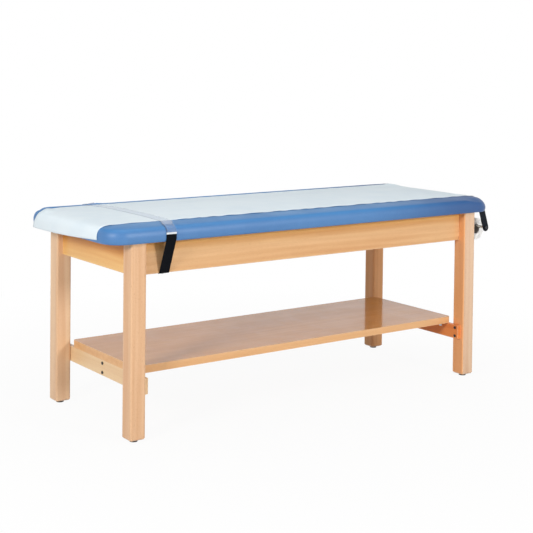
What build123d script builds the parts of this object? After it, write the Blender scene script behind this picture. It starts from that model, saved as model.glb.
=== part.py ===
from build123d import *
import math
import os

# Treatment table: a wooden frame on four legs with an H stretcher and a shelf, a padded
# vinyl top, a paper strap near the foot end and a paper roll under the head end.
# Millimetres. X runs to the head end, Y to the back, Z up. The model is drawn about the
# middle of the four legs and moved along X at the end, so that the origin is the middle
# of the whole object's footprint on the floor.

# Frame
frame_length = 1738.0
frame_width = 652.0
frame_top = 722.0
leg_side = 63.5
leg_edge_radius = 7.5
leg_foot_chamfer = 5.0
chamfer_limit_share = 0.9
apron_height = 122.0
apron_thickness = 22.0
apron_edge_radius = 2.0
long_apron_setback = 34.0
end_apron_setback = 24.4

# H stretcher and shelf
stretcher_bottom = 166.9
stretcher_height = 60.0
stretcher_thickness = 18.0
stretcher_end_setback = 16.0
rail_thickness = 20.0
board_edge_radius = 1.5
shelf_thickness = 28.6
shelf_width = 500.0
shelf_end_gap = 1.0
shelf_corner_radius = 15.0
shelf_edging_thickness = 2.0

# Padded top
cushion_end_overhang = 96.0
cushion_side_overhang = 17.0
cushion_thickness = 65.4
cushion_corner_radius = 80.0
cushion_least_radius = 12.0
cushion_edge_run = 24.0
cushion_crown_run = 236.0
cushion_draw_in = 4.0
vinyl_thickness = 1.2
vinyl_hem = 45.0
board_thickness = 16.0
board_setback = 4.0

# Side profile of the cushion, from its bottom to its crown: share of the thickness, then
# share of the run of the rounded edge, of the crown and of the draw-in that it lies in by.
cushion_profile_shares = [
    (0.00, 0.00, 0.00, 1.00),
    (0.10, 0.00, 0.00, 0.30),
    (0.22, 0.00, 0.00, 0.00),
    (0.48, 0.00, 0.00, 0.00),
    (0.60, 0.08, 0.00, 0.00),
    (0.73, 0.27, 0.00, 0.00),
    (0.82, 0.56, 0.00, 0.00),
    (0.88, 1.00, 0.00, 0.00),
    (0.923, 1.00, 0.12, 0.00),
    (0.945, 1.00, 0.32, 0.00),
    (0.969, 1.00, 0.53, 0.00),
    (0.988, 1.00, 0.75, 0.00),
    (1.000, 1.00, 1.00, 0.00),
]

# The rounded edge lies between these shares of the thickness
rounding_low_share = 0.48
rounding_high_share = 0.88

# Paper sheet, roll and dispenser
paper_width = 533.4
paper_offset = 24.0
paper_thickness = 0.4
paper_hang_front = 12.0
paper_hang_back = -7.0
roll_radius = 49.0
core_bore_radius = 19.0
core_wall = 2.5
rod_radius = 6.0
rod_tail = 8.0
rod_inset = 2.0
rod_drop = 78.0
knob_radius = 7.5
knob_thickness = 5.0
knob_socket = 3.0
bracket_gap = 7.8
bracket_thickness = 3.0
bracket_width = 33.0
bracket_lean = 25.5
bracket_flange = 40.0
bracket_screw_pitch = 18.0
bracket_screw_edge = 10.0

# Paper strap: a clear strip across the top, a white cuff and a black elastic at each side
strip_thickness = 0.5
strip_width = 52.0
strip_from_end = 285.0
strip_slant = 33.0
elastic_width = 43.0
elastic_thickness = 1.5
strip_turn = 43.0
cuff_top = 38.0
cuff_height = 11.0
cuff_thickness = 2.0

# Levelling glides
glide_radius = 15.0
glide_height = 9.0
glide_shoulder = 3.0
glide_taper = 1.5
stem_radius = 4.0
stem_length = 35.0
insert_radius = 6.0
insert_length = 22.0
insert_flange_radius = 10.0
insert_flange_thickness = 1.5

# Corner braces and hanger bolts
brace_reach = 62.0
brace_flange = 22.0
brace_thickness = 2.5
brace_height = 90.0
brace_screw_pitch = 50.0
hanger_radius = 4.0
hanger_depth = 40.0
hanger_pitch = 26.0
hanger_tail = 3.0
washer_radius = 8.5
washer_thickness = 1.6
nut_flat_radius = 6.5
nut_height = 6.5

# Dowels
dowel_radius = 5.0
dowel_length = 50.0
long_apron_dowel_spacing = 90.0
end_apron_dowel_spacing = 60.0

# Bolts of the H stretcher
bolt_radius = 3.0
bolt_head_radius = 6.25
bolt_head_height = 2.2
bolt_socket_radius = 2.3
bolt_socket_depth = 1.5
bolt_pitch = 36.0
leg_bolt_grip = 20.0
leg_insert_radius = 5.0
leg_insert_length = 22.0
rail_bolt_grip = 38.0
barrel_radius = 5.0
barrel_length = 16.0
barrel_setback = 30.0

# Screws, clips and cleats
screw_radius = 2.0
screw_head_radius = 4.2
screw_head_height = 2.2
screw_slot = 1.0
screw_slot_depth = 1.0
short_screw = 14.0
cleat_screw = 36.0
cleat_width = 22.0
cleat_height = 26.0
cleat_end_gap = 40.0
cleat_screw_step = 40.0
cleat_screw_shares = [-0.9, -0.3, 0.3, 0.9]
clip_leaf = 20.0
clip_width = 16.0
clip_thickness = 2.0
clip_inset = 43.0
anchor_washer_radius = 7.0
anchor_washer_thickness = 1.2

# Clearances
soft_gap = 0.3
fit_gap = 0.1
hole_gap = 0.15
bolt_hole_gap = 0.5
overrun = 5.0

# Worked out from the sizes above
leg_out_x = frame_length / 2
leg_out_y = frame_width / 2
leg_in_x = leg_out_x - leg_side
leg_in_y = leg_out_y - leg_side
leg_mid_x = leg_out_x - leg_side / 2
leg_mid_y = leg_out_y - leg_side / 2
apron_out_y = leg_out_y - long_apron_setback
apron_in_y = apron_out_y - apron_thickness
apron_mid_y = apron_out_y - apron_thickness / 2
end_apron_out_x = leg_out_x - end_apron_setback
end_apron_in_x = end_apron_out_x - apron_thickness
end_apron_mid_x = end_apron_out_x - apron_thickness / 2
apron_bottom = frame_top - apron_height
apron_middle = frame_top - apron_height / 2
stretcher_in_x = leg_in_x - stretcher_thickness
stretcher_half = leg_out_y - stretcher_end_setback
stretcher_middle = stretcher_bottom + stretcher_height / 2
shelf_bottom = stretcher_bottom + stretcher_height
shelf_length = 2 * (leg_in_x - shelf_end_gap)
clip_from_middle = shelf_width / 2 - clip_inset
board_bottom = frame_top + vinyl_thickness
cushion_length = frame_length + 2 * cushion_end_overhang
cushion_width = frame_width + 2 * cushion_side_overhang
cushion_top = frame_top + cushion_thickness
core_radius = core_bore_radius + core_wall
rod_x = cushion_length / 2 - rod_inset
rod_height = frame_top - rod_drop
roll_height = rod_height - (core_bore_radius - rod_radius - soft_gap)
paper_front = paper_offset - paper_width / 2
paper_back = paper_offset + paper_width / 2
bracket_spacing = 2 * (paper_back + bracket_gap) + bracket_thickness
strip_gap = soft_gap + paper_thickness + soft_gap
strip_x = strip_from_end - cushion_length / 2
elastic_x = strip_x - strip_slant
ends = [("foot", -1), ("head", 1)]
sides = [("front", -1), ("back", 1)]


def block(low, high):
    """A box between two opposite corners."""
    size = [b - a for a, b in zip(low, high)]
    middle = [(a + b) / 2 for a, b in zip(low, high)]
    return Pos(*middle) * Box(*size)


def slab(length, width, radius, low, high):
    """A rounded rectangle about the Z axis, from one height to another."""
    outline = RectangleRounded(length, width, radius)
    return extrude(Pos(0, 0, low) * outline, high - low)


def bar(place, radius, start, length):
    """A round bar on a place's own axis."""
    middle = start + length / 2
    return place * Pos(0, 0, middle) * Cylinder(radius, length)


def ring(place, outer, inner, start, length):
    """A round tube on a place's own axis."""
    return bar(place, outer, start, length) - bar(place, inner, start - overrun, length + 2 * overrun)


def group(shapes):
    """Separate solids that share one node."""
    solids = []
    for shape in shapes:
        solids.extend(shape.solids())
    return Compound(solids)


def only_solid(shape):
    """The one solid of a result."""
    solids = shape.solids()
    if len(solids) != 1:
        raise ValueError(f"expected one solid, found {len(solids)}")
    return solids[0]


def band_outline(path, thickness):
    """A flat band in a plane: a path, and the same path moved to its left by a thickness."""
    normals = []
    for (x0, y0), (x1, y1) in zip(path, path[1:]):
        length = math.hypot(x1 - x0, y1 - y0)
        normals.append(((y0 - y1) / length, (x1 - x0) / length))
    first = [normals[0]] + normals
    second = normals + [normals[-1]]
    moved = []
    for (x, y), (ax, ay), (bx, by) in zip(path, first, second):
        scale = thickness / (1 + ax * bx + ay * by)
        moved.append((x + (ax + bx) * scale, y + (ay + by) * scale))
    return make_face(Polyline(*path, *reversed(moved), close=True))


def soft_rounded(shape, axis, radius):
    """A board with the edges along one axis eased."""
    return fillet(shape.edges().filter_by(axis), radius)


# Fasteners. Each is drawn with its seat at the origin, its head up and its shank down.
def socket_bolt(grip):
    shank = Pos(0, 0, -grip / 2) * Cylinder(bolt_radius, grip)
    head = Pos(0, 0, bolt_head_height / 2) * Cylinder(bolt_head_radius, bolt_head_height)
    socket = extrude(Pos(0, 0, bolt_head_height) * RegularPolygon(bolt_socket_radius, 6), -bolt_socket_depth)
    return shank + head - socket


def wood_screw(grip):
    shank = Pos(0, 0, -grip / 2) * Cylinder(screw_radius, grip)
    head = Pos(0, 0, screw_head_height / 2) * Cylinder(screw_head_radius, screw_head_height)
    slot_height = screw_head_height - screw_slot_depth / 2
    slot = Pos(0, 0, slot_height) * Box(screw_head_radius, screw_slot, screw_slot_depth)
    cross = Pos(0, 0, slot_height) * Box(screw_slot, screw_head_radius, screw_slot_depth)
    return shank + head - slot - cross


def screw_holes(places, grip):
    """Holes for screws, cut from every piece that they pass."""
    return [bar(place, screw_radius + hole_gap, -grip, grip) for place in places]


def seat(x, y, z, out):
    """A fastener's place: its seat and the way that its head faces."""
    return Plane(origin=(x, y, z), z_dir=out)


def corner_point(end, side, from_end, from_side):
    """A plan point in a frame corner, from the inner faces of its end and long apron."""
    return end * (end_apron_in_x - from_end), side * (apron_in_y - from_side)


def hanger_places(end, side):
    """Hanger bolts lie across the corner and enter the leg at its inner edge."""
    skew = (end_apron_in_x - leg_in_x) - (apron_in_y - leg_in_y)
    face = brace_reach + math.sqrt(2) * brace_thickness
    x, y = corner_point(end, side, (face + skew) / 2, (face - skew) / 2)
    places = []
    for step in (-1, 1):
        places.append(seat(x, y, apron_middle + step * hanger_pitch / 2, (-end, -side, 0)))
    return places


def hanger_reach():
    """How far a hanger bolt runs from the brace to its end in the leg."""
    to_leg_edge = (end_apron_in_x - leg_in_x) + (apron_in_y - leg_in_y)
    face = brace_reach + math.sqrt(2) * brace_thickness
    return (face - to_leg_edge) / math.sqrt(2) + hanger_depth


def brace_screw_places(end, side):
    middle = brace_reach + brace_flange / 2
    places = []
    for step in (-1, 1):
        height = apron_middle + step * brace_screw_pitch / 2
        x, y = corner_point(end, side, brace_thickness, middle)
        places.append(seat(x, y, height, (-end, 0, 0)))
        x, y = corner_point(end, side, middle, brace_thickness)
        places.append(seat(x, y, height, (0, -side, 0)))
    return places


def dowel_places(end, side):
    """Dowels lie across the joint faces between a leg and its two aprons."""
    places = []
    for step in (-1, 1):
        height = apron_middle + step * long_apron_dowel_spacing / 2
        places.append(seat(end * leg_in_x, side * apron_mid_y, height, (end, 0, 0)))
        height = apron_middle + step * end_apron_dowel_spacing / 2
        places.append(seat(end * end_apron_mid_x, side * leg_in_y, height, (0, side, 0)))
    return places


def leg_bolt_places(end, side):
    places = []
    for step in (-1, 1):
        height = stretcher_middle + step * bolt_pitch / 2
        places.append(seat(end * stretcher_in_x, side * leg_mid_y, height, (-end, 0, 0)))
    return places


def rail_bolt_places(end):
    places = []
    for step in (-1, 1):
        height = stretcher_middle + step * bolt_pitch / 2
        places.append(seat(end * leg_in_x, 0, height, (end, 0, 0)))
    return places


def cleat_half():
    return end_apron_in_x - brace_reach - brace_flange - cleat_end_gap


def cleat_side_places(side):
    """Screws that hold a cleat to its apron."""
    face = apron_in_y - cleat_width
    height = board_bottom - cleat_height / 2
    run = cleat_half()
    return [seat(share * run, side * face, height, (0, -side, 0)) for share in cleat_screw_shares]


def cleat_top_places(side):
    """Screws that go up through a cleat into the top board."""
    middle = apron_in_y - cleat_width / 2
    height = board_bottom - cleat_height
    run = cleat_half() - cleat_screw_step
    return [seat(share * run, side * middle, height, (0, 0, -1)) for share in cleat_screw_shares]


def clip_places():
    """Shelf clips sit in the corner between a stretcher's inner face and the shelf."""
    return [(end, side) for _, end in ends for _, side in sides]


def clip_screw_places(end, side):
    y = side * clip_from_middle
    middle = clip_thickness + (clip_leaf - clip_thickness) / 2
    up = seat(end * (stretcher_in_x - middle), y, shelf_bottom - clip_thickness, (0, 0, -1))
    across = seat(end * (stretcher_in_x - clip_thickness), y, shelf_bottom - middle, (-end, 0, 0))
    return [up, across]


def bracket_top_x():
    return rod_x - bracket_lean


def bracket_screw_places(side):
    """Screws up through a dispenser bracket's flange into the top board."""
    outer = bracket_spacing / 2 - bracket_screw_edge
    height = frame_top - bracket_thickness
    places = []
    for y in (outer, outer - bracket_screw_pitch):
        places.append(seat(bracket_top_x(), side * y, height, (0, 0, -1)))
    return places


def anchor_place(side):
    """The screw that holds an elastic's end under the long apron."""
    height = apron_bottom - soft_gap - elastic_thickness - anchor_washer_thickness
    return seat(elastic_x, side * apron_mid_y, height, (0, 0, -1))


# Wooden frame
def make_leg(end, side):
    outline = RectangleRounded(leg_side, leg_side, leg_edge_radius)
    place = Pos(end * leg_mid_x, side * leg_mid_y, glide_height)
    leg = extrude(place * outline, frame_top - glide_height)
    bottom = leg.faces().sort_by(Axis.Z)[0]
    leg = chamfer(bottom.edges(), min(leg_foot_chamfer, chamfer_limit_share * leg_edge_radius))
    foot = seat(end * leg_mid_x, side * leg_mid_y, glide_height, (0, 0, 1))
    cuts = [bar(foot, insert_radius + hole_gap, -overrun, insert_length + overrun)]
    cuts.append(bar(foot, insert_flange_radius + hole_gap, -overrun, insert_flange_thickness + overrun))
    cuts.append(bar(foot, stem_radius + bolt_hole_gap, -overrun, stem_length + 2 * overrun))
    for place in leg_bolt_places(end, side):
        depth = stretcher_thickness + leg_insert_length
        cuts.append(bar(place, leg_insert_radius + hole_gap, -depth, depth))
    for place in hanger_places(end, side):
        cuts.append(bar(place, hanger_radius + hole_gap, -hanger_reach(), hanger_reach()))
    for place in dowel_places(end, side):
        cuts.append(bar(place, dowel_radius + hole_gap, 0, dowel_length / 2))
    return only_solid(leg - cuts)


def make_long_apron(side):
    low = [-leg_in_x, side * apron_in_y, apron_bottom]
    high = [leg_in_x, side * apron_out_y, frame_top]
    low[1], high[1] = sorted((low[1], high[1]))
    apron = block(low, high)
    bottom = apron.edges().filter_by(Axis.X).sort_by(Axis.Z)[:2]
    apron = fillet(bottom, apron_edge_radius)
    cuts = []
    for _, end in ends:
        cuts.extend(bar(p, dowel_radius + hole_gap, -dowel_length / 2, dowel_length) for p in dowel_places(end, side))
        grip = short_screw
        cuts.extend(screw_holes(brace_screw_places(end, side), grip))
    cuts.extend(screw_holes(cleat_side_places(side), cleat_screw))
    cuts.extend(screw_holes([anchor_place(side)], short_screw + anchor_washer_thickness))
    return only_solid(apron - cuts)


def make_end_apron(end):
    low_x, high_x = sorted((end * end_apron_in_x, end * end_apron_out_x))
    apron = block((low_x, -leg_in_y, apron_bottom), (high_x, leg_in_y, frame_top))
    bottom = apron.edges().filter_by(Axis.Y).sort_by(Axis.Z)[:2]
    apron = fillet(bottom, apron_edge_radius)
    cuts = []
    for _, side in sides:
        cuts.extend(bar(p, dowel_radius + hole_gap, -dowel_length / 2, dowel_length) for p in dowel_places(end, side))
        cuts.extend(screw_holes(brace_screw_places(end, side), short_screw))
    return only_solid(apron - cuts)


def make_dowels():
    dowels = []
    for _, end in ends:
        for _, side in sides:
            for place in dowel_places(end, side):
                dowels.append(bar(place, dowel_radius, -dowel_length / 2, dowel_length))
    return group(dowels)


# H stretcher and shelf
def make_stretcher(end):
    low_x, high_x = sorted((end * stretcher_in_x, end * leg_in_x))
    board = block((low_x, -stretcher_half, stretcher_bottom), (high_x, stretcher_half, shelf_bottom))
    board = soft_rounded(board, Axis.Y, board_edge_radius)
    cuts = []
    hole = bolt_radius + hole_gap
    for _, side in sides:
        cuts.extend(bar(p, hole, -stretcher_thickness - overrun, stretcher_thickness + 2 * overrun)
                    for p in leg_bolt_places(end, side))
        cuts.extend(screw_holes(clip_screw_places(end, side)[1:], short_screw))
    cuts.extend(bar(p, hole, -stretcher_thickness - overrun, stretcher_thickness + 2 * overrun)
                for p in rail_bolt_places(end))
    return only_solid(board - cuts)


def barrel_places(end):
    places = []
    for step in (-1, 1):
        height = stretcher_middle + step * bolt_pitch / 2
        places.append(seat(end * (stretcher_in_x - barrel_setback), 0, height, (0, 1, 0)))
    return places


def make_centre_rail():
    low = (-stretcher_in_x, -rail_thickness / 2, stretcher_bottom)
    high = (stretcher_in_x, rail_thickness / 2, shelf_bottom)
    rail = soft_rounded(block(low, high), Axis.X, board_edge_radius)
    cuts = []
    for _, end in ends:
        depth = stretcher_thickness + rail_bolt_grip
        cuts.extend(bar(p, bolt_radius + hole_gap, -depth, depth) for p in rail_bolt_places(end))
        cuts.extend(bar(p, barrel_radius + hole_gap, -rail_thickness, 2 * rail_thickness) for p in barrel_places(end))
    return only_solid(rail - cuts)


def make_barrel_nuts():
    nuts = []
    for _, end in ends:
        for place, bolt in zip(barrel_places(end), rail_bolt_places(end)):
            nut = bar(place, barrel_radius, -barrel_length / 2, barrel_length)
            depth = stretcher_thickness + rail_bolt_grip + overrun
            nuts.append(nut - bar(bolt, bolt_radius + fit_gap, -depth, depth))
    return group(nuts)


def make_shelf_panel():
    length = shelf_length - 2 * (shelf_edging_thickness + fit_gap)
    width = shelf_width - 2 * (shelf_edging_thickness + fit_gap)
    radius = shelf_corner_radius - shelf_edging_thickness - fit_gap
    panel = slab(length, width, radius, shelf_bottom, shelf_bottom + shelf_thickness)
    cuts = []
    for end, side in clip_places():
        cuts.extend(screw_holes(clip_screw_places(end, side)[:1], short_screw))
    return only_solid(panel - cuts)


def make_shelf_edging():
    top = shelf_bottom + shelf_thickness
    outer = slab(shelf_length, shelf_width, shelf_corner_radius, shelf_bottom, top)
    length = shelf_length - 2 * shelf_edging_thickness
    width = shelf_width - 2 * shelf_edging_thickness
    radius = shelf_corner_radius - shelf_edging_thickness
    return only_solid(outer - slab(length, width, radius, shelf_bottom - overrun, top + overrun))


def make_shelf_clips():
    clips = []
    for end, side in clip_places():
        path = [(clip_leaf, 0), (0, 0), (0, -clip_leaf)]
        profile = band_outline(path, clip_thickness)
        corner = Plane(
            origin=(end * stretcher_in_x, side * clip_from_middle, shelf_bottom),
            x_dir=(-end, 0, 0),
            z_dir=(0, end, 0),
        )
        clip = corner * extrude(profile, clip_width / 2, both=True)
        holes = screw_holes(clip_screw_places(end, side), clip_thickness)
        clips.append(clip - holes)
    return group(clips)


# Corner braces
def make_brace(end, side):
    corners = [
        (0, brace_reach + brace_flange),
        (0, brace_reach),
        (brace_reach, 0),
        (brace_reach + brace_flange, 0),
    ]
    path = [corner_point(end, side, a, b) for a, b in corners]
    if end * side < 0:
        path.reverse()
    plate = extrude(Pos(0, 0, apron_middle - brace_height / 2) * band_outline(path, brace_thickness), brace_height)
    cuts = screw_holes(brace_screw_places(end, side), short_screw)
    for place in hanger_places(end, side):
        cuts.append(bar(place, hanger_radius + bolt_hole_gap, -hanger_reach(), 2 * hanger_reach()))
    return only_solid(plate - cuts)


def all_corners(make_places):
    """The places of one kind of fastener at all four corners."""
    places = []
    for _, end in ends:
        for _, side in sides:
            places.extend(make_places(end, side))
    return places


def make_hanger_bolts():
    length = hanger_reach() + washer_thickness + nut_height + hanger_tail
    return group(bar(p, hanger_radius, -hanger_reach(), length) for p in all_corners(hanger_places))


def make_hanger_washers():
    inner = hanger_radius + bolt_hole_gap
    return group(ring(p, washer_radius, inner, 0, washer_thickness) for p in all_corners(hanger_places))


def make_hanger_nuts():
    nuts = []
    for place in all_corners(hanger_places):
        blank = Pos(0, 0, washer_thickness) * RegularPolygon(nut_flat_radius, 6, major_radius=False)
        nut = place * extrude(blank, nut_height)
        nuts.append(nut - bar(place, hanger_radius + fit_gap, -overrun, nut_height + washer_thickness + 2 * overrun))
    return group(nuts)


# Glides
def foot_place(end, side):
    return seat(end * leg_mid_x, side * leg_mid_y, 0, (0, 0, 1))


def make_glide(end, side):
    """A round pad that narrows to its shoulder, with a socket for its stem."""
    place = foot_place(end, side)
    pad = bar(place, glide_radius, 0, glide_height)
    rim = pad.edges().filter_by(GeomType.CIRCLE).sort_by(Axis.Z)[-1:]
    pad = chamfer(rim, glide_shoulder, glide_taper)
    return only_solid(pad - bar(place, stem_radius + fit_gap, glide_shoulder, glide_height))


def make_stem(end, side):
    return only_solid(bar(foot_place(end, side), stem_radius, glide_shoulder, stem_length + glide_height - glide_shoulder))


def make_glide_inserts():
    inserts = []
    for _, end in ends:
        for _, side in sides:
            place = foot_place(end, side)
            body = bar(place, insert_radius, glide_height, insert_length)
            flange = bar(place, insert_flange_radius, glide_height, insert_flange_thickness)
            bore = bar(place, stem_radius + fit_gap, 0, 2 * (glide_height + insert_length))
            inserts.append(body + flange - bore)
    return group(inserts)


# Padded top
def cushion_sections(gap, draw_in):
    """Half length, half width, corner radius and height of each level of the soft form."""
    sections = []
    for rise_share, edge_share, crown_share, draw_share in cushion_profile_shares:
        inset = edge_share * cushion_edge_run + crown_share * cushion_crown_run + draw_share * draw_in
        lift = gap * min(1, max(0, (rise_share - rounding_low_share) / (rounding_high_share - rounding_low_share)))
        radius = max(cushion_corner_radius - inset, cushion_least_radius) + gap
        height = frame_top + rise_share * cushion_thickness + lift
        sections.append((cushion_length / 2 - inset + gap, cushion_width / 2 - inset + gap, radius, height))
    return sections


def cushion_form(gap, draw_in, drop=0):
    """The soft form grown by a gap, with its sides carried on down by a drop."""
    outlines = []
    levels = cushion_sections(gap, draw_in)
    if drop:
        half_x, half_y, radius, height = levels[0]
        levels[0] = (half_x, half_y, radius, height - drop)
    for half_x, half_y, radius, height in levels:
        outlines.append(Pos(0, 0, height) * RectangleRounded(2 * half_x, 2 * half_y, radius))
    return only_solid(loft(outlines, ruled=True))


def top_fixing_holes():
    """Holes for every screw that goes up into the top board."""
    holes = []
    for _, side in sides:
        holes.extend(screw_holes(cleat_top_places(side), cleat_screw))
        holes.extend(screw_holes(bracket_screw_places(side), short_screw))
    return holes


def board_size():
    inset = cushion_draw_in + board_setback
    return cushion_length - 2 * inset, cushion_width - 2 * inset, cushion_corner_radius - inset


def make_top_board():
    length, width, radius = board_size()
    board = slab(length, width, radius, board_bottom, board_bottom + board_thickness)
    return only_solid(board - top_fixing_holes())


def make_foam_pad():
    form = cushion_form(-vinyl_thickness - soft_gap, cushion_draw_in)
    length, width, radius = board_size()
    gap = 2 * soft_gap
    room = slab(length + gap, width + gap, radius + soft_gap, frame_top - overrun, board_bottom + board_thickness)
    below = block((-cushion_length, -cushion_width, 0), (cushion_length, cushion_width, board_bottom))
    return only_solid(form - room - below)


def make_vinyl_cover():
    """The cover with its hem turned in under the board."""
    skin = cushion_form(0, cushion_draw_in)
    inside = cushion_form(-vinyl_thickness, cushion_draw_in)
    below = block((-cushion_length, -cushion_width, 0), (cushion_length, cushion_width, board_bottom))
    inside = only_solid(inside - below)
    hem = cushion_draw_in + vinyl_hem
    radius = max(cushion_corner_radius - hem, cushion_least_radius)
    mouth = slab(cushion_length - 2 * hem, cushion_width - 2 * hem, radius, frame_top - overrun, board_bottom + overrun)
    return only_solid(skin - inside - mouth - top_fixing_holes())


def make_cleat(side):
    half = cleat_half()
    low_y, high_y = sorted((side * apron_in_y, side * (apron_in_y - cleat_width)))
    cleat = block((-half, low_y, board_bottom - cleat_height), (half, high_y, board_bottom))
    holes = screw_holes(cleat_side_places(side), cleat_screw) + screw_holes(cleat_top_places(side), cleat_screw)
    return only_solid(cleat - holes)


# Paper
def make_exam_paper():
    """The sheet over the cushion, with a slanted end at the foot and a straight one at the head."""
    drop = overrun - paper_hang_back
    outer = cushion_form(soft_gap + paper_thickness, 0, drop)
    sheet = outer - cushion_form(soft_gap, 0, 2 * drop)
    far = cushion_length
    top = cushion_top + overrun
    slope = (paper_hang_back - paper_hang_front) / paper_width
    foot_outline = [
        (paper_front, frame_top + paper_hang_front),
        (paper_back, frame_top + paper_hang_front + slope * paper_width),
        (paper_back, top),
        (paper_front, top),
    ]
    face = Plane(origin=(-far, 0, 0), x_dir=(0, 1, 0), z_dir=(1, 0, 0)) * make_face(Polyline(*foot_outline, close=True))
    foot_part = extrude(face, far)
    head_part = block((0, paper_front, frame_top), (far, paper_back, top))
    return only_solid(sheet & (foot_part + head_part))


def web_path():
    """The paper's way in the XZ plane, from the cushion's head end to the roll's inner side."""
    start_x = cushion_length / 2 + soft_gap
    across = start_x - rod_x
    up = frame_top - roll_height
    reach = roll_radius + soft_gap + paper_thickness
    distance = math.hypot(across, up)
    run = math.sqrt(distance ** 2 - reach ** 2)
    slope = math.atan2(-up, -across) - math.asin(reach / distance)
    return [(start_x, frame_top), (start_x + run * math.cos(slope), frame_top + run * math.sin(slope))]


def make_paper_web():
    (start_x, start_z), (end_x, end_z) = web_path()
    length = math.hypot(end_x - start_x, end_z - start_z)
    normal = ((start_z - end_z) / length, (end_x - start_x) / length)
    points = [
        (start_x, start_z),
        (start_x + paper_thickness / normal[0], start_z),
        (end_x + paper_thickness * normal[0], end_z + paper_thickness * normal[1]),
        (end_x, end_z),
    ]
    face = Plane(origin=(0, paper_back, 0), x_dir=(1, 0, 0), z_dir=(0, -1, 0)) * make_face(Polyline(*points, close=True))
    return only_solid(extrude(face, paper_width))


def roll_place():
    return seat(rod_x, paper_front, roll_height, (0, 1, 0))


def make_paper_roll():
    return only_solid(ring(roll_place(), roll_radius, core_radius + fit_gap, 0, paper_width))


def make_roll_core():
    return only_solid(ring(roll_place(), core_radius, core_bore_radius, 0, paper_width))


# Dispenser
def rod_place():
    return seat(rod_x, 0, rod_height, (0, 1, 0))


def make_rod():
    front = bracket_spacing / 2 + bracket_thickness / 2 + soft_gap + knob_socket
    back = bracket_spacing / 2 + bracket_thickness / 2 + rod_tail
    return only_solid(bar(rod_place(), rod_radius, -front, front + back))


def make_knob():
    """A round cap on the rod's front end, by which the rod is drawn out."""
    inner = bracket_spacing / 2 + bracket_thickness / 2 + soft_gap
    knob = bar(rod_place(), knob_radius, -inner - knob_thickness, knob_thickness)
    rim = knob.edges().filter_by(GeomType.CIRCLE).sort_by(Axis.Y)[:1]
    knob = fillet(rim, knob_thickness / 3)
    return only_solid(knob - bar(rod_place(), rod_radius + fit_gap, -inner - knob_socket, knob_socket + overrun))


def make_bracket(side):
    """A leaning flat bar with a rod hole in its round tip and a flange under the top."""
    lean = math.atan2(bracket_lean, frame_top - rod_height)
    half_top = bracket_width / 2 / math.cos(lean)
    across = (bracket_width / 2 * math.cos(lean), bracket_width / 2 * math.sin(lean))
    points = [
        (bracket_top_x() - half_top, frame_top),
        (bracket_top_x() + half_top, frame_top),
        (rod_x + across[0], rod_height + across[1]),
        (rod_x - across[0], rod_height - across[1]),
    ]
    tip = Pos(rod_x, rod_height) * Circle(bracket_width / 2)
    outline = make_face(Polyline(*points, close=True)) + tip
    centre = Plane(origin=(0, side * bracket_spacing / 2, 0), x_dir=(1, 0, 0), z_dir=(0, -1, 0))
    arm = extrude(centre * outline, bracket_thickness / 2, both=True)
    outer_y = bracket_spacing / 2 + bracket_thickness / 2
    low_y, high_y = sorted((side * outer_y, side * (outer_y - bracket_flange)))
    low = (bracket_top_x() - half_top, low_y, frame_top - bracket_thickness)
    flange = block(low, (bracket_top_x() + half_top, high_y, frame_top))
    hole = bar(rod_place(), rod_radius + fit_gap, -bracket_spacing, 2 * bracket_spacing)
    return only_solid(arm + flange - hole - screw_holes(bracket_screw_places(side), short_screw))


# Paper strap
def make_clear_strip():
    """The strip lies straight across the top and slants to each elastic over the edges."""
    gap = strip_gap
    skin = cushion_form(gap + strip_thickness, 0) - cushion_form(gap, 0, overrun)
    top = cushion_top + overrun
    half_y = cushion_width / 2
    turn_y = half_y - strip_turn
    outline = []
    for x, width, y in (
        (elastic_x, elastic_width, -half_y - overrun),
        (elastic_x, elastic_width, -half_y),
        (strip_x, strip_width, -turn_y),
        (strip_x, strip_width, turn_y),
        (elastic_x, elastic_width, half_y),
        (elastic_x, elastic_width, half_y + overrun),
    ):
        outline.append((x + width / 2, y))
        outline.insert(0, (x - width / 2, y))
    low = frame_top + cuff_top
    region = extrude(Pos(0, 0, low) * make_face(Polyline(*outline, close=True)), top - low)
    return only_solid(skin & region)


def make_cuff(side):
    skin = cushion_form(soft_gap + cuff_thickness, 0) - cushion_form(soft_gap, 0, overrun)
    high_z = frame_top + cuff_top
    low_y, high_y = sorted((0, side * cushion_width))
    low = (elastic_x - elastic_width / 2, low_y, high_z - cuff_height)
    return only_solid(skin & block(low, (elastic_x + elastic_width / 2, high_y, high_z)))


def make_elastic(side):
    """A flat band down the cushion's side, in to the apron's lower edge and in under it."""
    path = [(cushion_width / 2 + soft_gap, frame_top + cuff_top - cuff_height)]
    for _, half_width, _, height in reversed(cushion_sections(soft_gap, cushion_draw_in)):
        if height < path[0][1]:
            path.append((half_width, height))
    path.append((apron_out_y + soft_gap, apron_bottom - soft_gap))
    path.append((apron_in_y, apron_bottom - soft_gap))
    band = Plane(
        origin=(elastic_x, 0, 0), x_dir=(0, side, 0), z_dir=(side, 0, 0)
    ) * band_outline(path, elastic_thickness)
    strap = extrude(band, elastic_width / 2, both=True)
    return only_solid(strap - screw_holes([anchor_place(side)], short_screw))


def make_anchor_washers():
    washers = []
    for _, side in sides:
        inner = screw_radius + hole_gap
        washers.append(ring(anchor_place(side), anchor_washer_radius, inner, -anchor_washer_thickness, anchor_washer_thickness))
    return group(washers)


def screws(places, grip):
    return group(place * wood_screw(grip) for place in places)


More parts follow.
